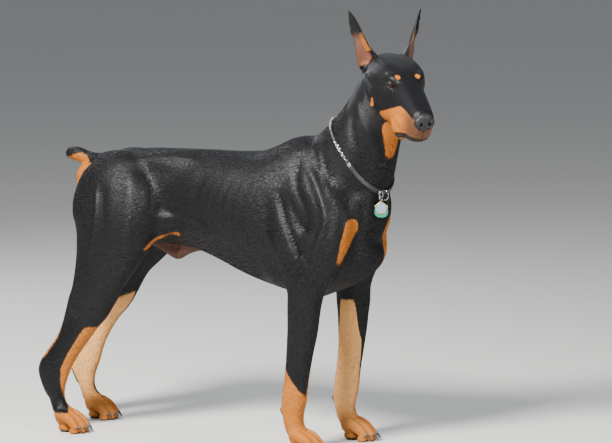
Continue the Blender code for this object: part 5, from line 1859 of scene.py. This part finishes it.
def eye_mesh(name, side, sizes):
    """An eyeball with a raised cornea, whose vertices know how far they are from the pupil."""
    at, look, _, _ = eye_frame(side)
    made = bmesh.new()
    bmesh.ops.create_uvsphere(made, u_segments=56, v_segments=40, radius=EYE_RADIUS)
    reach = []
    for vert in made.verts:
        wide = math.hypot(vert.co.x, vert.co.y)
        front = vert.co.z > 0
        reach.append(wide if front else 2 * EYE_RADIUS - wide)
        if front:
            vert.co *= 1 + 0.055 * max(0.0, 1 - (wide / (sizes.iris * 1.12)) ** 2)
    turn = look.to_track_quat("Z", "Y").to_matrix().to_4x4()
    bmesh.ops.transform(made, matrix=head_matrix() @ Matrix.Translation(at) @ turn, verts=made.verts)
    mesh = bpy.data.meshes.new(name)
    made.to_mesh(mesh)
    made.free()
    store(mesh, "reach", np.array(reach) / EYE_RADIUS)
    return smoothed(new_object(name, mesh))


def eye_material(colours, sizes):
    """A dark pupil, a brown iris with rays and a darker edge, and little of the white."""
    made, tree, shader = new_material("Dark brown eye")
    reach = attribute(tree, "reach")
    fibre = tree.noise(1400.0, 3.0)
    ragged = tree.math("ADD", reach, tree.math("MULTIPLY_ADD", fibre, 0.05, -0.025))
    ramp = tree.add("ShaderNodeValToRGB", {"Fac": ragged})
    pupil, iris = sizes.pupil / EYE_RADIUS, sizes.iris / EYE_RADIUS
    brown = np.array(colours.iris)
    stops = (
        (pupil * 0.94, (0.002, 0.002, 0.002)),
        (pupil * 1.08, brown * 0.55),
        (iris * 0.70, brown),
        (iris * 0.90, brown * 0.7),
        (iris * 1.00, brown * 0.12),
        (iris * 1.16, (0.014, 0.008, 0.007)),
        (1.0, (0.024, 0.014, 0.012)),
    )
    points = ramp.color_ramp.elements
    points[0].position, points[0].color = stops[0][0], rgba(stops[0][1])
    points[1].position, points[1].color = stops[-1][0], rgba(stops[-1][1])
    for place, colour in stops[1:-1]:
        points.new(place).color = rgba(colour)
    tree.link(ramp.outputs[0], shader.inputs["Base Color"])
    values = {"Roughness": 0.20, "Specular IOR Level": 0.10, "Coat Weight": 0.16, "Coat Roughness": 0.03}
    for title, value in values.items():
        shader.inputs[title].default_value = value
    return made


def leather_grain():
    """Fine pebbles, as on a dog's nose, lips and pads."""
    number = "NodeSocketFloat"
    group, tree, given, out = new_group("Leather grain", [("Scale", number, 800.0)], [("Height", number)])
    if tree is None:
        return group
    place = tree.add("ShaderNodeTexCoord").outputs["Object"]
    links = {"Vector": place, "Scale": given["Scale"]}
    cells = tree.add("ShaderNodeTexVoronoi", links, feature="SMOOTH_F1")
    fine = tree.noise(2600.0, 2.0, place)
    pebbles = tree.math("MULTIPLY", cells.outputs["Distance"], -1.2)
    tree.link(tree.math("MULTIPLY_ADD", fine, 0.25, pebbles), out["Height"])
    return group


def leather_material(name, colour, roughness, pebbles, depth):
    """Dark, slightly moist leather."""
    made, tree, shader = new_material(name)
    broad = tree.noise(160.0, 3.0)
    mixed = tree.mix(tree.math("MULTIPLY", broad, 0.7), colour, tint(colour, 2.1, 0.008))
    rough = tree.math("MULTIPLY_ADD", broad, 0.22, roughness - 0.11)
    tree.wear(shader, mixed, rough, {"Specular IOR Level": 0.30})
    grain = tree.add("ShaderNodeGroup", {"Scale": pebbles}, node_tree=leather_grain()).outputs[0]
    tree.bump(shader, grain, 0.6, depth)
    return made


def tube(path, radius, sides=10, closed=False):
    """A round tube along points, as a bmesh, with one radius or one for each point."""
    count = len(path)
    radii = radius if isinstance(radius, list) else [radius] * count
    made = bmesh.new()
    rings = []
    normal = None
    for i, at in enumerate(path):
        if closed:
            ahead, behind = path[(i + 1) % count], path[i - 1]
        else:
            ahead, behind = path[min(i + 1, count - 1)], path[max(i - 1, 0)]
        along = (ahead - behind).normalized()
        if normal is None:
            normal = along.orthogonal().normalized()
        normal = (normal - along * normal.dot(along)).normalized()
        side = along.cross(normal)
        spots = [at + (normal * math.cos(t) + side * math.sin(t)) * radii[i] for t in turns_round(sides)]
        rings.append([made.verts.new(spot) for spot in spots])
    if closed:
        # The last ring meets the first at the turn that brings their sides together
        gap = [(rings[-1][0].co - v.co).length for v in rings[0]]
        start = gap.index(min(gap))
        rings.append(rings[0][start:] + rings[0][:start])
    bridge(made, rings)
    if not closed:
        made.faces.new(rings[0][::-1])
        made.faces.new(rings[-1])
    bmesh.ops.recalc_face_normals(made, faces=made.faces)
    return made


def lid_forms(side):
    """The moist black rim of the lids."""
    at, look, across, up = eye_frame(side)
    path = []
    for turn in turns_round(40):
        wide, tall = almond(turn, 1.03)
        flat = across * wide + up * tall
        deep = math.sqrt((EYE_RADIUS + 0.0007) ** 2 - flat.length_squared)
        path.append(at + flat + look * deep)
    return placed([tube(path, 0.00085, 10, True)], head_matrix())


def corner_forms(side):
    """The third lid in the inner corner of an eye."""
    at, look, across, up = eye_frame(side)
    inner = 1 if across.x > 0 else -1
    wide = across * (inner * FISSURE_LENGTH * 0.40)
    deep = math.sqrt(EYE_RADIUS**2 - wide.length_squared)
    spot = at + wide + look * deep - up * 0.0006
    return placed([bulge(spot, (0.0024, 0.0020, 0.0019))], head_matrix())


def nose_piece():
    """The nose leather with its wings, nostrils and the groove between them."""
    obj = remeshed(joined("nose_leather", nose_forms()), 0.00055)
    soften(obj, 14)
    for side in (-1, 1):
        hole = remeshed(joined("nostril", nostril_forms(side)), 0.0004)
        knife = obj.modifiers.new("Nostril", "BOOLEAN")
        knife.operation = "DIFFERENCE"
        knife.object = hole
        knife.solver = "EXACT"
        applied(obj)
        bpy.data.objects.remove(hole)
    places = vertex_places(obj.data)
    own = to_head(places)
    groove = ridge(own[:, 1], 0.0009) * step(own[:, 2], NOSE_AT.z + 0.004, NOSE_AT.z - 0.004)
    groove *= step(own[:, 0], NOSE_AT.x, NOSE_AT.x + 0.004)
    set_places(obj.data, places - vertex_normals(obj.data) * (0.0013 * groove)[:, None])
    return smoothed(soften(obj, 2))


# Stations of a claw: share of its length, height, front, back and side radius
CLAW = (
    (0.20, 0.0046, 0.0037, 0.0036, 0.0027),
    (0.45, 0.0034, 0.0032, 0.0033, 0.0024),
    (0.68, 0.0006, 0.0024, 0.0026, 0.0019),
    (0.84, -0.0034, 0.0015, 0.0016, 0.0013),
    (0.92, -0.0064, 0.0007, 0.0007, 0.0006),
)


def claw_forms(tip):
    """One short, curved, tapering claw at the end of a toe."""
    x, y, z = tip
    rows = [(x - 0.004, y, z + 0.0036, 0.0036, 0.0036, 0.0026)]
    rows += [(x + CLAW_LENGTH * share, y, z + high, *radii) for share, high, *radii in CLAW]
    return [loft(rows, front=(0, 0, 1), sides=14)]


def claw_material(colours):
    """Dark horn with fine lengthwise lines."""
    made, tree, shader = new_material("Dark claw")
    broad = tree.noise(300.0, 2.0)
    colour = tree.mix(broad, colours.claw, tint(colours.claw, 3.2))
    tree.wear(shader, colour, tree.math("MULTIPLY_ADD", broad, 0.2, 0.28))
    tree.bump(shader, tree.noise(1500.0, 2.0), 0.3, 0.0003)
    return made


def band_loops(line, wide, thick, lift, profile):
    """Loops of a band along the collar's line; profile lists (share of width, share of thickness)."""
    count = len(line)
    loops = []
    for i, (at, out) in enumerate(line):
        along = (line[min(i + 1, count - 1)][0] - line[max(i - 1, 0)][0]).normalized()
        edge = out.cross(along).normalized()
        up = along.cross(edge).normalized()
        loops.append([at + edge * (wide * across) + up * (lift + thick * high) for across, high in profile])
    return loops


def rounded_profile(corner=0.10, count=4):
    """A flat band's cross-section with rounded edges, as shares of its width and thickness."""
    found = []
    for middle_x, middle_z, start in ((0.5 - corner, 0.5, -90), (-0.5 + corner, 0.5, 90)):
        for k in range(count + 1):
            turn = math.radians(start + 180 * k / count)
            found.append((middle_x + corner * math.cos(turn), middle_z + 0.5 * math.sin(turn)))
    return found


def strap_piece(tree):
    """The webbing strap, with a map along it for the weave."""
    line = collar_line(tree, CLAMP_RIGHT, CLAMP_LEFT, 90)
    loops = band_loops(line, STRAP_WIDTH, STRAP_THICKNESS, COLLAR_LIFT, rounded_profile())
    made = loft_loops(loops)
    layer = made.loops.layers.uv.new("Weave")
    made.verts.ensure_lookup_table()
    count = len(loops[0])
    for face in made.faces:
        for corner in face.loops:
            number = corner.vert.index
            corner[layer].uv = ((number // count) / 90.0, (number % count) / count)
    mesh = bpy.data.meshes.new("strap_webbing")
    made.to_mesh(mesh)
    made.free()
    return smoothed(new_object("strap_webbing", mesh)), line


def stitch_piece(line):
    """Two rows of stitches along the strap, each a short lying capsule."""
    forms = []
    for i in range(2, len(line) - 3):
        at, out = line[i]
        ahead = line[i + 1][0]
        edge = out.cross((ahead - at).normalized()).normalized()
        for across in (-0.36, 0.36):
            base = at + edge * (STRAP_WIDTH * across) + out * (COLLAR_LIFT + STRAP_THICKNESS * 0.98)
            reach = (ahead - at) * 0.62
            arch = out * 0.0003
            path = [base, base + reach * 0.33 + arch, base + reach * 0.67 + arch, base + reach]
            forms.append(tube(path, [0.00012, 0.00026, 0.00026, 0.00012], 6))
    return smoothed(joined("strap_stitching", forms))


def link_form(at, along, flat, length, wide, wire):
    """One oval link, long way along, lying in the plane that flat is the normal of."""
    side = flat.cross(along).normalized()
    path = []
    straight = length / 2 - wide / 2
    for turn in turns_round(20):
        reach = along * (math.cos(turn) * wide / 2 + math.copysign(straight, math.cos(turn)))
        path.append(at + reach + side * (math.sin(turn) * wide / 2))
    return tube(path, wire, 8, True)


# Links lie flat and stand upright by turns
LINK_LEANS = (8, 82)


def chain_piece(tree, sizes):
    """The chain round the nape, link in link, its links lying flat and standing upright by turns."""
    first, last = CLAMP_LEFT + math.radians(5.2), 2 * math.pi + CLAMP_RIGHT - math.radians(5.2)
    line = collar_line(tree, first, last, 240)
    gaps = [(b[0] - a[0]).length for a, b in zip(line, line[1:])]
    travelled = np.concatenate([[0], np.cumsum(gaps)])
    pitch = sizes.link - 4.2 * sizes.link_wire
    count = int(round((travelled[-1] - sizes.link) / pitch)) + 1
    stops = np.linspace(sizes.link / 2, travelled[-1] - sizes.link / 2, count)
    wide = sizes.link * 0.56
    forms = []
    for number, stop in enumerate(stops):
        i = int(np.clip(np.searchsorted(travelled, stop), 1, len(line) - 1))
        at, out = line[i]
        along = (line[min(i + 1, len(line) - 1)][0] - line[i - 1][0]).normalized()
        out = (out - along * out.dot(along)).normalized()
        lean = math.radians(LINK_LEANS[number % 2])
        flat = Matrix.Rotation(lean, 3, along) @ out
        lift = COLLAR_LIFT + sizes.link_wire + wide / 2 * 0.9
        forms.append(link_form(at + out * lift, along, flat, sizes.link, wide, sizes.link_wire))
    return smoothed(joined("chain_links", forms))


def clamp_piece(tree, name, first, last):
    """A crimped metal end that grips the strap and holds the chain's last link."""
    line = collar_line(tree, first, last, 25)
    profile = rounded_profile(0.16, 6)
    flat = band_loops(line, STRAP_WIDTH * 0.92, STRAP_THICKNESS * 1.35, COLLAR_LIFT * 0.9, profile)
    loops = []
    for i, loop in enumerate(flat):
        # Three pressed ribs across, and ends rolled down
        share = i / (len(flat) - 1)
        ribs = 0.10 * (0.5 + 0.5 * math.cos(share * 6 * math.pi))
        swell = 1 - ribs - 0.35 * max(0, abs(share - 0.5) * 2 - 0.85) / 0.15
        middle = sum(loop, Vector()) / len(loop)
        loops.append([middle + (p - middle) * swell for p in loop])
    return smoothed(joined(name, [loft_loops(loops)]))


def ring_frame(axis):
    """An axis of length 1 and the two ways across it."""
    axis = Vector(axis).normalized()
    side = axis.orthogonal().normalized()
    return axis, side, axis.cross(side)


def ring_form(at, axis, radius, wire, around=64):
    """A plain wire ring about an axis."""
    axis, side, up = ring_frame(axis)
    turns = np.arange(around) * 2 * math.pi / around
    path = [at + (side * math.cos(turn) + up * math.sin(turn)) * radius for turn in turns]
    return tube(path, wire, 14, True)


def split_ring_form(at, axis, radius, wire):
    """A split ring: one wire wound round twice."""
    axis, side, up = ring_frame(axis)
    path = []
    for share in np.arange(97) / 96:
        turn = share * 4 * math.pi
        shift = (step(share, 0.40, 0.60) - 0.5) * wire * 1.15
        path.append(at + (side * math.cos(turn) + up * math.sin(turn)) * radius + axis * float(shift))
    return tube(path, wire * 0.58)


def plate_form(at, facing, outline, thick, bevel=0.0003):
    """A flat tag with rounded edges that hangs with its face along facing."""
    facing = Vector(facing).normalized()
    across = Vector((0, 0, 1)).cross(facing).normalized()
    up = facing.cross(across)
    half = thick / 2
    front = ((0, half - bevel), (bevel * 0.3, half - bevel * 0.3), (bevel, half))
    back = [(inset, -height) for inset, height in reversed(front)]
    loops = []
    for inset, height in (*back, *front):
        loop = []
        for point in outline:
            flat = Vector(point)
            flat *= 1 - inset / max(flat.length, 1e-6)
            loop.append(at + across * flat.x + up * flat.y + facing * height)
        loops.append(loop)
    return loft_loops(loops)


def smooth_outline(outline, rounds=2):
    """An outline with its corners rounded by cutting them."""
    points = [Vector(p) for p in outline]
    for _ in range(rounds):
        cut = []
        for a, b in zip(points, points[1:] + points[:1]):
            cut += [a.lerp(b, 0.25), a.lerp(b, 0.75)]
        points = cut
    return points


def hung_pieces(tree):
    """The rings under the strap, each (name, form, solid it replaces), and the star's place and facing."""
    low, out = collar_point(tree, 0.0)
    out = Vector((out.x, out.y, 0)).normalized()
    up = Vector((0, 0, 1))
    side = up.cross(out)

    def spot(ahead, left, above):
        return low + out * ahead + side * left + up * above

    hang = COLLAR_LIFT + STRAP_THICKNESS + 0.0008 + WIRE + DEE_RADIUS
    dee = ring_form(spot(hang, 0, DEE_HEIGHT), up, DEE_RADIUS, WIRE)
    # The split ring hangs a little to the right, over the wire of the dee
    drop = SPLIT_RADIUS - 2 * WIRE - RING_SLACK
    split_ahead = hang + math.sqrt(DEE_RADIUS**2 - HUNG_ASIDE**2)
    split_height = DEE_HEIGHT - drop
    split = split_ring_form(spot(split_ahead, HUNG_ASIDE, split_height), side, SPLIT_RADIUS, WIRE)
    # The round ring hangs from the left of the dee and leans out
    facing = (out * 0.342 - side * 0.940).normalized()
    sideways = up.cross(facing)
    reach = ROUND_RADIUS - 2 * WIRE - RING_SLACK
    along_bar = 0.0036
    hook = spot(hang + math.sqrt(DEE_RADIUS**2 - along_bar**2), along_bar, DEE_HEIGHT)
    round_at = hook + sideways * (reach * 0.500) - up * (reach * 0.866)
    round_ring = ring_form(round_at, facing, ROUND_RADIUS, WIRE)
    small_low = split_height - SPLIT_RADIUS - (SMALL_RADIUS - 2 * WIRE - 0.0005)
    small = ring_form(spot(split_ahead, HUNG_ASIDE, small_low), out, SMALL_RADIUS, WIRE * 0.8, 40)
    pieces = (
        ("ring_dee_wire", dee, "ring_dee"),
        ("ring_split_wire", split, "ring_split"),
        ("ring_round_wire", round_ring, "ring_round"),
        ("ring_small_wire", small, "ring_small"),
    )
    tag_top = small_low - SMALL_RADIUS - WIRE - 0.0003
    facing = (out - side * 0.75).normalized()
    star_at = spot(hang + DEE_RADIUS + 0.0010, HUNG_ASIDE, tag_top - STAR_OUTER)
    return pieces, star_at, facing


def metal_material(name, colour, roughness):
    """Polished metal with faint scratches and smears."""
    made, tree, shader = new_material(name)
    smear = tree.noise(220.0, 3.0)
    fine = tree.noise(1800.0, 2.0)
    mixed = tree.mix(tree.math("MULTIPLY", smear, 0.6), colour, tint(colour, 0.72))
    tree.wear(shader, mixed, tree.math("MULTIPLY_ADD", smear, 0.10, roughness), {"Metallic": 1.0})
    tree.bump(shader, fine, 0.12, 0.0002)
    return made


def painted_material(name, colour, roughness, metallic):
    """A coated tag with small wear marks, bare of any lettering."""
    made, tree, shader = new_material(name)
    smear = tree.noise(320.0, 4.0)
    mixed = tree.mix(tree.ranged(smear, 0.45, 0.75), colour, tint(colour, 1.25, 0.02))
    tree.wear(shader, mixed, tree.math("MULTIPLY_ADD", smear, 0.18, roughness), {"Metallic": metallic})
    tree.bump(shader, tree.noise(900.0, 2.0), 0.15, 0.0003)
    return made


def webbing_material(colours):
    """Tight greenish black webbing, woven across and along."""
    made, tree, shader = new_material("Webbing strap")
    flat = tree.add("ShaderNodeUVMap", uv_map="Weave").outputs[0]
    along = tree.add("ShaderNodeMapping", {"Vector": flat, "Scale": (150.0, 60.0, 1.0)}).outputs[0]
    links = {"Vector": along, "Scale": 1.0, "Mortar Size": 0.10, "Bias": 0.0, "Brick Width": 1.0}
    weave = tree.add("ShaderNodeTexBrick", {**links, "Row Height": 1.0}).outputs["Fac"]
    fine = tree.noise(1500.0, 2.0)
    share = tree.math("MULTIPLY", weave, 0.7)
    share = tree.math("ADD", share, tree.math("MULTIPLY", fine, 0.35))
    mixed = tree.mix(share, tint(colours.strap, 2.2), colours.strap)
    tree.wear(shader, mixed, tree.math("MULTIPLY_ADD", fine, 0.2, 0.42))
    tree.bump(shader, tree.math("MULTIPLY_ADD", weave, -1.0, fine), 0.6, 0.0004)
    return made


def floor_material(colours):
    """A plain pale matt floor."""
    made, tree, shader = new_material("Pale floor")
    broad = tree.noise(0.7, 2.0)
    colour = tree.mix(broad, colours.floor, tint(colours.floor, 0.96))
    tree.link(colour, shader.inputs["Base Color"])
    shader.inputs["Roughness"].default_value = 0.85
    shader.inputs["Specular IOR Level"].default_value = 0.2
    return made


def mesh_of(name):
    """The mesh of a piece made earlier, brought back to the dog's own frame."""
    obj = bpy.data.objects.get(name)
    if obj is None:
        raise RuntimeError(f"{name} isn't made yet")
    copy = obj.data.copy()
    copy.transform(home().inverted())
    return copy


def area_light(name, at, aim, size, power, colour=(1, 1, 1)):
    """A soft square lamp."""
    lamp = bpy.data.lights.new(name, "AREA")
    lamp.shape = "SQUARE"
    lamp.size = size
    lamp.energy = power
    lamp.color = colour
    obj = bpy.data.objects.new(name, lamp)
    bpy.context.scene.collection.objects.link(obj)
    obj.location = at
    obj.rotation_euler = (Vector(aim) - Vector(at)).to_track_quat("-Z", "Y").to_euler()


class DOBERMAN_OT_skin(bpy.types.Operator):
    """Makes the whole skin, with its markings and its fine hair"""

    bl_idname = "doberman.skin"
    bl_label = "Skin"

    def execute(self, context):
        obj = build_skin(context.scene.doberman_sizes)
        dress(obj.data, vertex_places(obj.data), vertex_normals(obj.data))
        flesh = ["head", "neck", "torso", "tail", "ear_left", "ear_right"]
        for end in ("front", "hind"):
            for side in ("left", "right"):
                flesh += [f"leg_{end}_{side}", f"paw_{end}_{side}"]
        wear = coat_material("Short coat on the skin", context.scene.doberman_colours, True)
        finished(obj, "coat", [wear], *flesh)
        return {"FINISHED"}


class DOBERMAN_OT_coat(bpy.types.Operator):
    """Lays short tufts over the skin, along the way the coat lies"""

    bl_idname = "doberman.coat"
    bl_label = "Coat"

    def execute(self, context):
        sizes = context.scene.doberman_sizes
        skin_mesh = mesh_of("skin")
        tree = tree_of(skin_mesh)
        wear = coat_material("Tufts of the coat", context.scene.doberman_colours, False)
        rng = np.random.default_rng(TUFT_SEED)
        for number in range(len(COAT_PIECES)):
            finished(build_tufts(skin_mesh, tree, number, sizes, rng), "coat", [wear])
        bpy.data.meshes.remove(skin_mesh)
        return {"FINISHED"}


class DOBERMAN_OT_eyes(bpy.types.Operator):
    """Makes both eyeballs, the rims of the lids and the inner corners"""

    bl_idname = "doberman.eyes"
    bl_label = "Eyes"

    def execute(self, context):
        sizes, colours = context.scene.doberman_sizes, context.scene.doberman_colours
        eye = eye_material(colours, sizes)
        rim = leather_material("Moist lid", colours.bare, 0.42, 1400.0, 0.0002)
        red = leather_material("Corner of the eye", (0.10, 0.030, 0.025), 0.22, 1400.0, 0.0002)
        for side, word in ((1, "left"), (-1, "right")):
            finished(eye_mesh("eyeball_" + word, side, sizes), "eye", [eye], "eye_" + word)
            finished(smoothed(joined("lid_rim_" + word, lid_forms(side))), "nose", [rim])
            finished(smoothed(joined("eye_corner_" + word, corner_forms(side))), "eye", [red])
        return {"FINISHED"}


class DOBERMAN_OT_nose(bpy.types.Operator):
    """Makes the nose leather with its nostrils"""

    bl_idname = "doberman.nose"
    bl_label = "Nose"

    def execute(self, context):
        colours = context.scene.doberman_colours
        wear = leather_material("Nose leather", colours.nose, 0.44, 700.0, 0.0005)
        finished(nose_piece(), "nose", [wear], "nose")
        return {"FINISHED"}


class DOBERMAN_OT_claws(bpy.types.Operator):
    """Makes the four claws of each paw"""

    bl_idname = "doberman.claws"
    bl_label = "Claws"

    def execute(self, context):
        wear = claw_material(context.scene.doberman_colours)
        for side, word in ((1, "left"), (-1, "right")):
            fore, hind = (FAR_FORE, FAR_HIND) if side > 0 else (0.0, 0.0)
            paws = (
                ("front", fore_paw_at(side, fore), PAW_LENGTH),
                ("hind", hind_paw_at(side, hind), HIND_PAW_LENGTH),
            )
            for end, paw, length in paws:
                forms, nodes = [], []
                for number, (_, _, tip) in enumerate(toes(paw, length)):
                    forms += claw_forms(tip)
                    nodes.append(f"claw_{end}_{word}_{number + 1}")
                finished(smoothed(joined(f"claws_{end}_{word}", forms)), "claw", [wear], *nodes)
        return {"FINISHED"}


class DOBERMAN_OT_collar(bpy.types.Operator):
    """Makes the strap with its stitching, the chain and the clamps between them"""

    bl_idname = "doberman.collar"
    bl_label = "Collar"

    def execute(self, context):
        sizes, colours = context.scene.doberman_sizes, context.scene.doberman_colours
        skin_mesh = mesh_of("skin")
        tree = tree_of(skin_mesh)
        steel = metal_material("Polished steel", colours.steel, 0.14)
        strap, line = strap_piece(tree)
        finished(strap, "strap", [webbing_material(colours)], "collar_strap")
        thread = painted_material("Dark thread", tint(colours.strap, 1.8), 0.55, 0.0)
        finished(stitch_piece(line), "strap", [thread])
        finished(chain_piece(tree, sizes), "chain", [steel], "collar_chain")
        one = math.radians(1.0)
        right = clamp_piece(tree, "clamp_right", CLAMP_RIGHT - 4.6 * one, CLAMP_RIGHT + 0.4 * one)
        left = clamp_piece(tree, "clamp_left", CLAMP_LEFT - 0.4 * one, CLAMP_LEFT + 4.6 * one)
        finished(right, "clamp", [steel], "collar_clamp_right")
        finished(left, "clamp", [steel], "collar_clamp_left")
        bpy.data.meshes.remove(skin_mesh)
        return {"FINISHED"}


class DOBERMAN_OT_tags(bpy.types.Operator):
    """Makes the rings and the two blank tags that hang on the strap"""

    bl_idname = "doberman.tags"
    bl_label = "Rings and tags"

    def execute(self, context):
        colours = context.scene.doberman_colours
        skin_mesh = mesh_of("skin")
        tree = tree_of(skin_mesh)
        steel = metal_material("Ring wire", colours.steel, 0.12)
        pieces, star_at, facing = hung_pieces(tree)
        for name, form, node in pieces:
            finished(smoothed(joined(name, [form])), "ring", [steel], node)
        gold = metal_material("Yellow metal", colours.gold, 0.24)
        blue = painted_material("Pale blue face", colours.disc, 0.34, 0.35)
        green = painted_material("Green coating", colours.green, 0.32, 0.2)
        points = smooth_outline(star_outline(5, STAR_OUTER, STAR_INNER))
        star = plate_form(star_at, facing, points, TAG_THICKNESS)
        finished(joined("star_points", [star]), "star_tag", [gold], "tag_star")
        face_at = star_at + facing * TAG_THICKNESS * 0.72
        circle = rounded_outline(DISC_RADIUS, DISC_RADIUS)
        disc = plate_form(face_at, facing, circle, TAG_THICKNESS * 0.8)
        finished(joined("star_face", [disc]), "star_tag", [blue])
        back_at = star_at - facing * (TAG_THICKNESS + 0.0005) - Vector((0, 0, 0.0070))
        outline = rounded_outline(BACK_TAG_WIDTH, BACK_TAG_HEIGHT)
        back = plate_form(back_at, facing, outline, TAG_THICKNESS)
        finished(joined("green_tag", [back]), "green_tag", [green], "tag_back")
        bpy.data.meshes.remove(skin_mesh)
        return {"FINISHED"}


class DOBERMAN_OT_stage(bpy.types.Operator):
    """Makes the pale floor, the soft lamps and the camera"""

    bl_idname = "doberman.stage"
    bl_label = "Studio"

    def execute(self, context):
        scene, colours = context.scene, context.scene.doberman_colours
        made = bmesh.new()
        bmesh.ops.create_grid(made, x_segments=24, y_segments=24, size=40.0)
        mesh = bpy.data.meshes.new("floor")
        made.to_mesh(mesh)
        made.free()
        floor = new_object("floor", mesh)
        floor.data.materials.append(floor_material(colours))
        floor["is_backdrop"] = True

        world = bpy.data.worlds.new("Soft daylight")
        world.use_nodes = True
        sky = world.node_tree.nodes["Background"]
        sky.inputs[0].default_value = (0.86, 0.89, 0.94, 1.0)
        sky.inputs[1].default_value = 0.34
        scene.world = world

        heart = home() @ VIEW_HEART
        aim = heart + Vector((0.05, 0.0, 0.05))
        area_light("Key lamp", heart + Vector((-0.5, -2.7, 2.3)), aim, 0.9, 500.0, (1.0, 0.97, 0.92))
        area_light("Front lamp", heart + Vector((2.6, -0.8, 1.0)), aim, 1.6, 60.0)
        area_light("Rear lamp", heart + Vector((-2.4, 1.4, 2.0)), aim, 1.6, 70.0, (0.92, 0.96, 1.0))

        back = Vector((
            math.sin(VIEW_TURN) * math.cos(VIEW_RISE),
            -math.cos(VIEW_TURN) * math.cos(VIEW_RISE),
            math.sin(VIEW_RISE),
        ))
        camera = bpy.data.cameras.new("Camera")
        camera.sensor_width = SENSOR
        camera.lens = FOCAL_PIXELS * SENSOR / PICTURE_WIDTH
        camera.clip_end = 200.0
        obj = bpy.data.objects.new("Camera", camera)
        scene.collection.objects.link(obj)
        obj.location = heart + back * VIEW_DISTANCE
        obj.rotation_euler = (-back).to_track_quat("-Z", "Y").to_euler()
        scene.camera = obj
        return {"FINISHED"}


STEPS = (
    DOBERMAN_OT_skin,
    DOBERMAN_OT_eyes,
    DOBERMAN_OT_nose,
    DOBERMAN_OT_claws,
    DOBERMAN_OT_collar,
    DOBERMAN_OT_tags,
    DOBERMAN_OT_coat,
    DOBERMAN_OT_stage,
)


class DOBERMAN_PT_panel(bpy.types.Panel):
    """Lists the sizes, the colours and the steps"""

    bl_idname = "DOBERMAN_PT_panel"
    bl_label = "Doberman pinscher"
    bl_space_type = "VIEW_3D"
    bl_region_type = "UI"
    bl_category = "Doberman"

    def draw(self, context):
        column = self.layout.column()
        for group in (context.scene.doberman_sizes, context.scene.doberman_colours):
            for name in group.__annotations__:
                column.prop(group, name)
        for made in STEPS:
            column.operator(made.bl_idname)


CLASSES = (DobermanSizes, DobermanColours, *STEPS, DOBERMAN_PT_panel)


def register():
    """Makes the groups, the operators and the panel known."""
    for made in CLASSES:
        bpy.utils.register_class(made)
    bpy.types.Scene.doberman_sizes = bpy.props.PointerProperty(type=DobermanSizes)
    bpy.types.Scene.doberman_colours = bpy.props.PointerProperty(type=DobermanColours)


def unregister():
    """Takes them away again."""
    del bpy.types.Scene.doberman_colours
    del bpy.types.Scene.doberman_sizes
    for made in reversed(CLASSES):
        bpy.utils.unregister_class(made)


def corners(pair):
    """A box's corners as plain lists."""
    return [list(map(float, corner)) for corner in pair]


def main():
    """Makes every piece, and measures the box of what is shown before and after."""
    solids = corners(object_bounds())
    register()
    for made in STEPS:
        area, name = made.bl_idname.split(".")
        getattr(getattr(bpy.ops, area), name)()
    {"cad": solids, "visual": corners(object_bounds())}


if __name__ == "__main__":
    main()
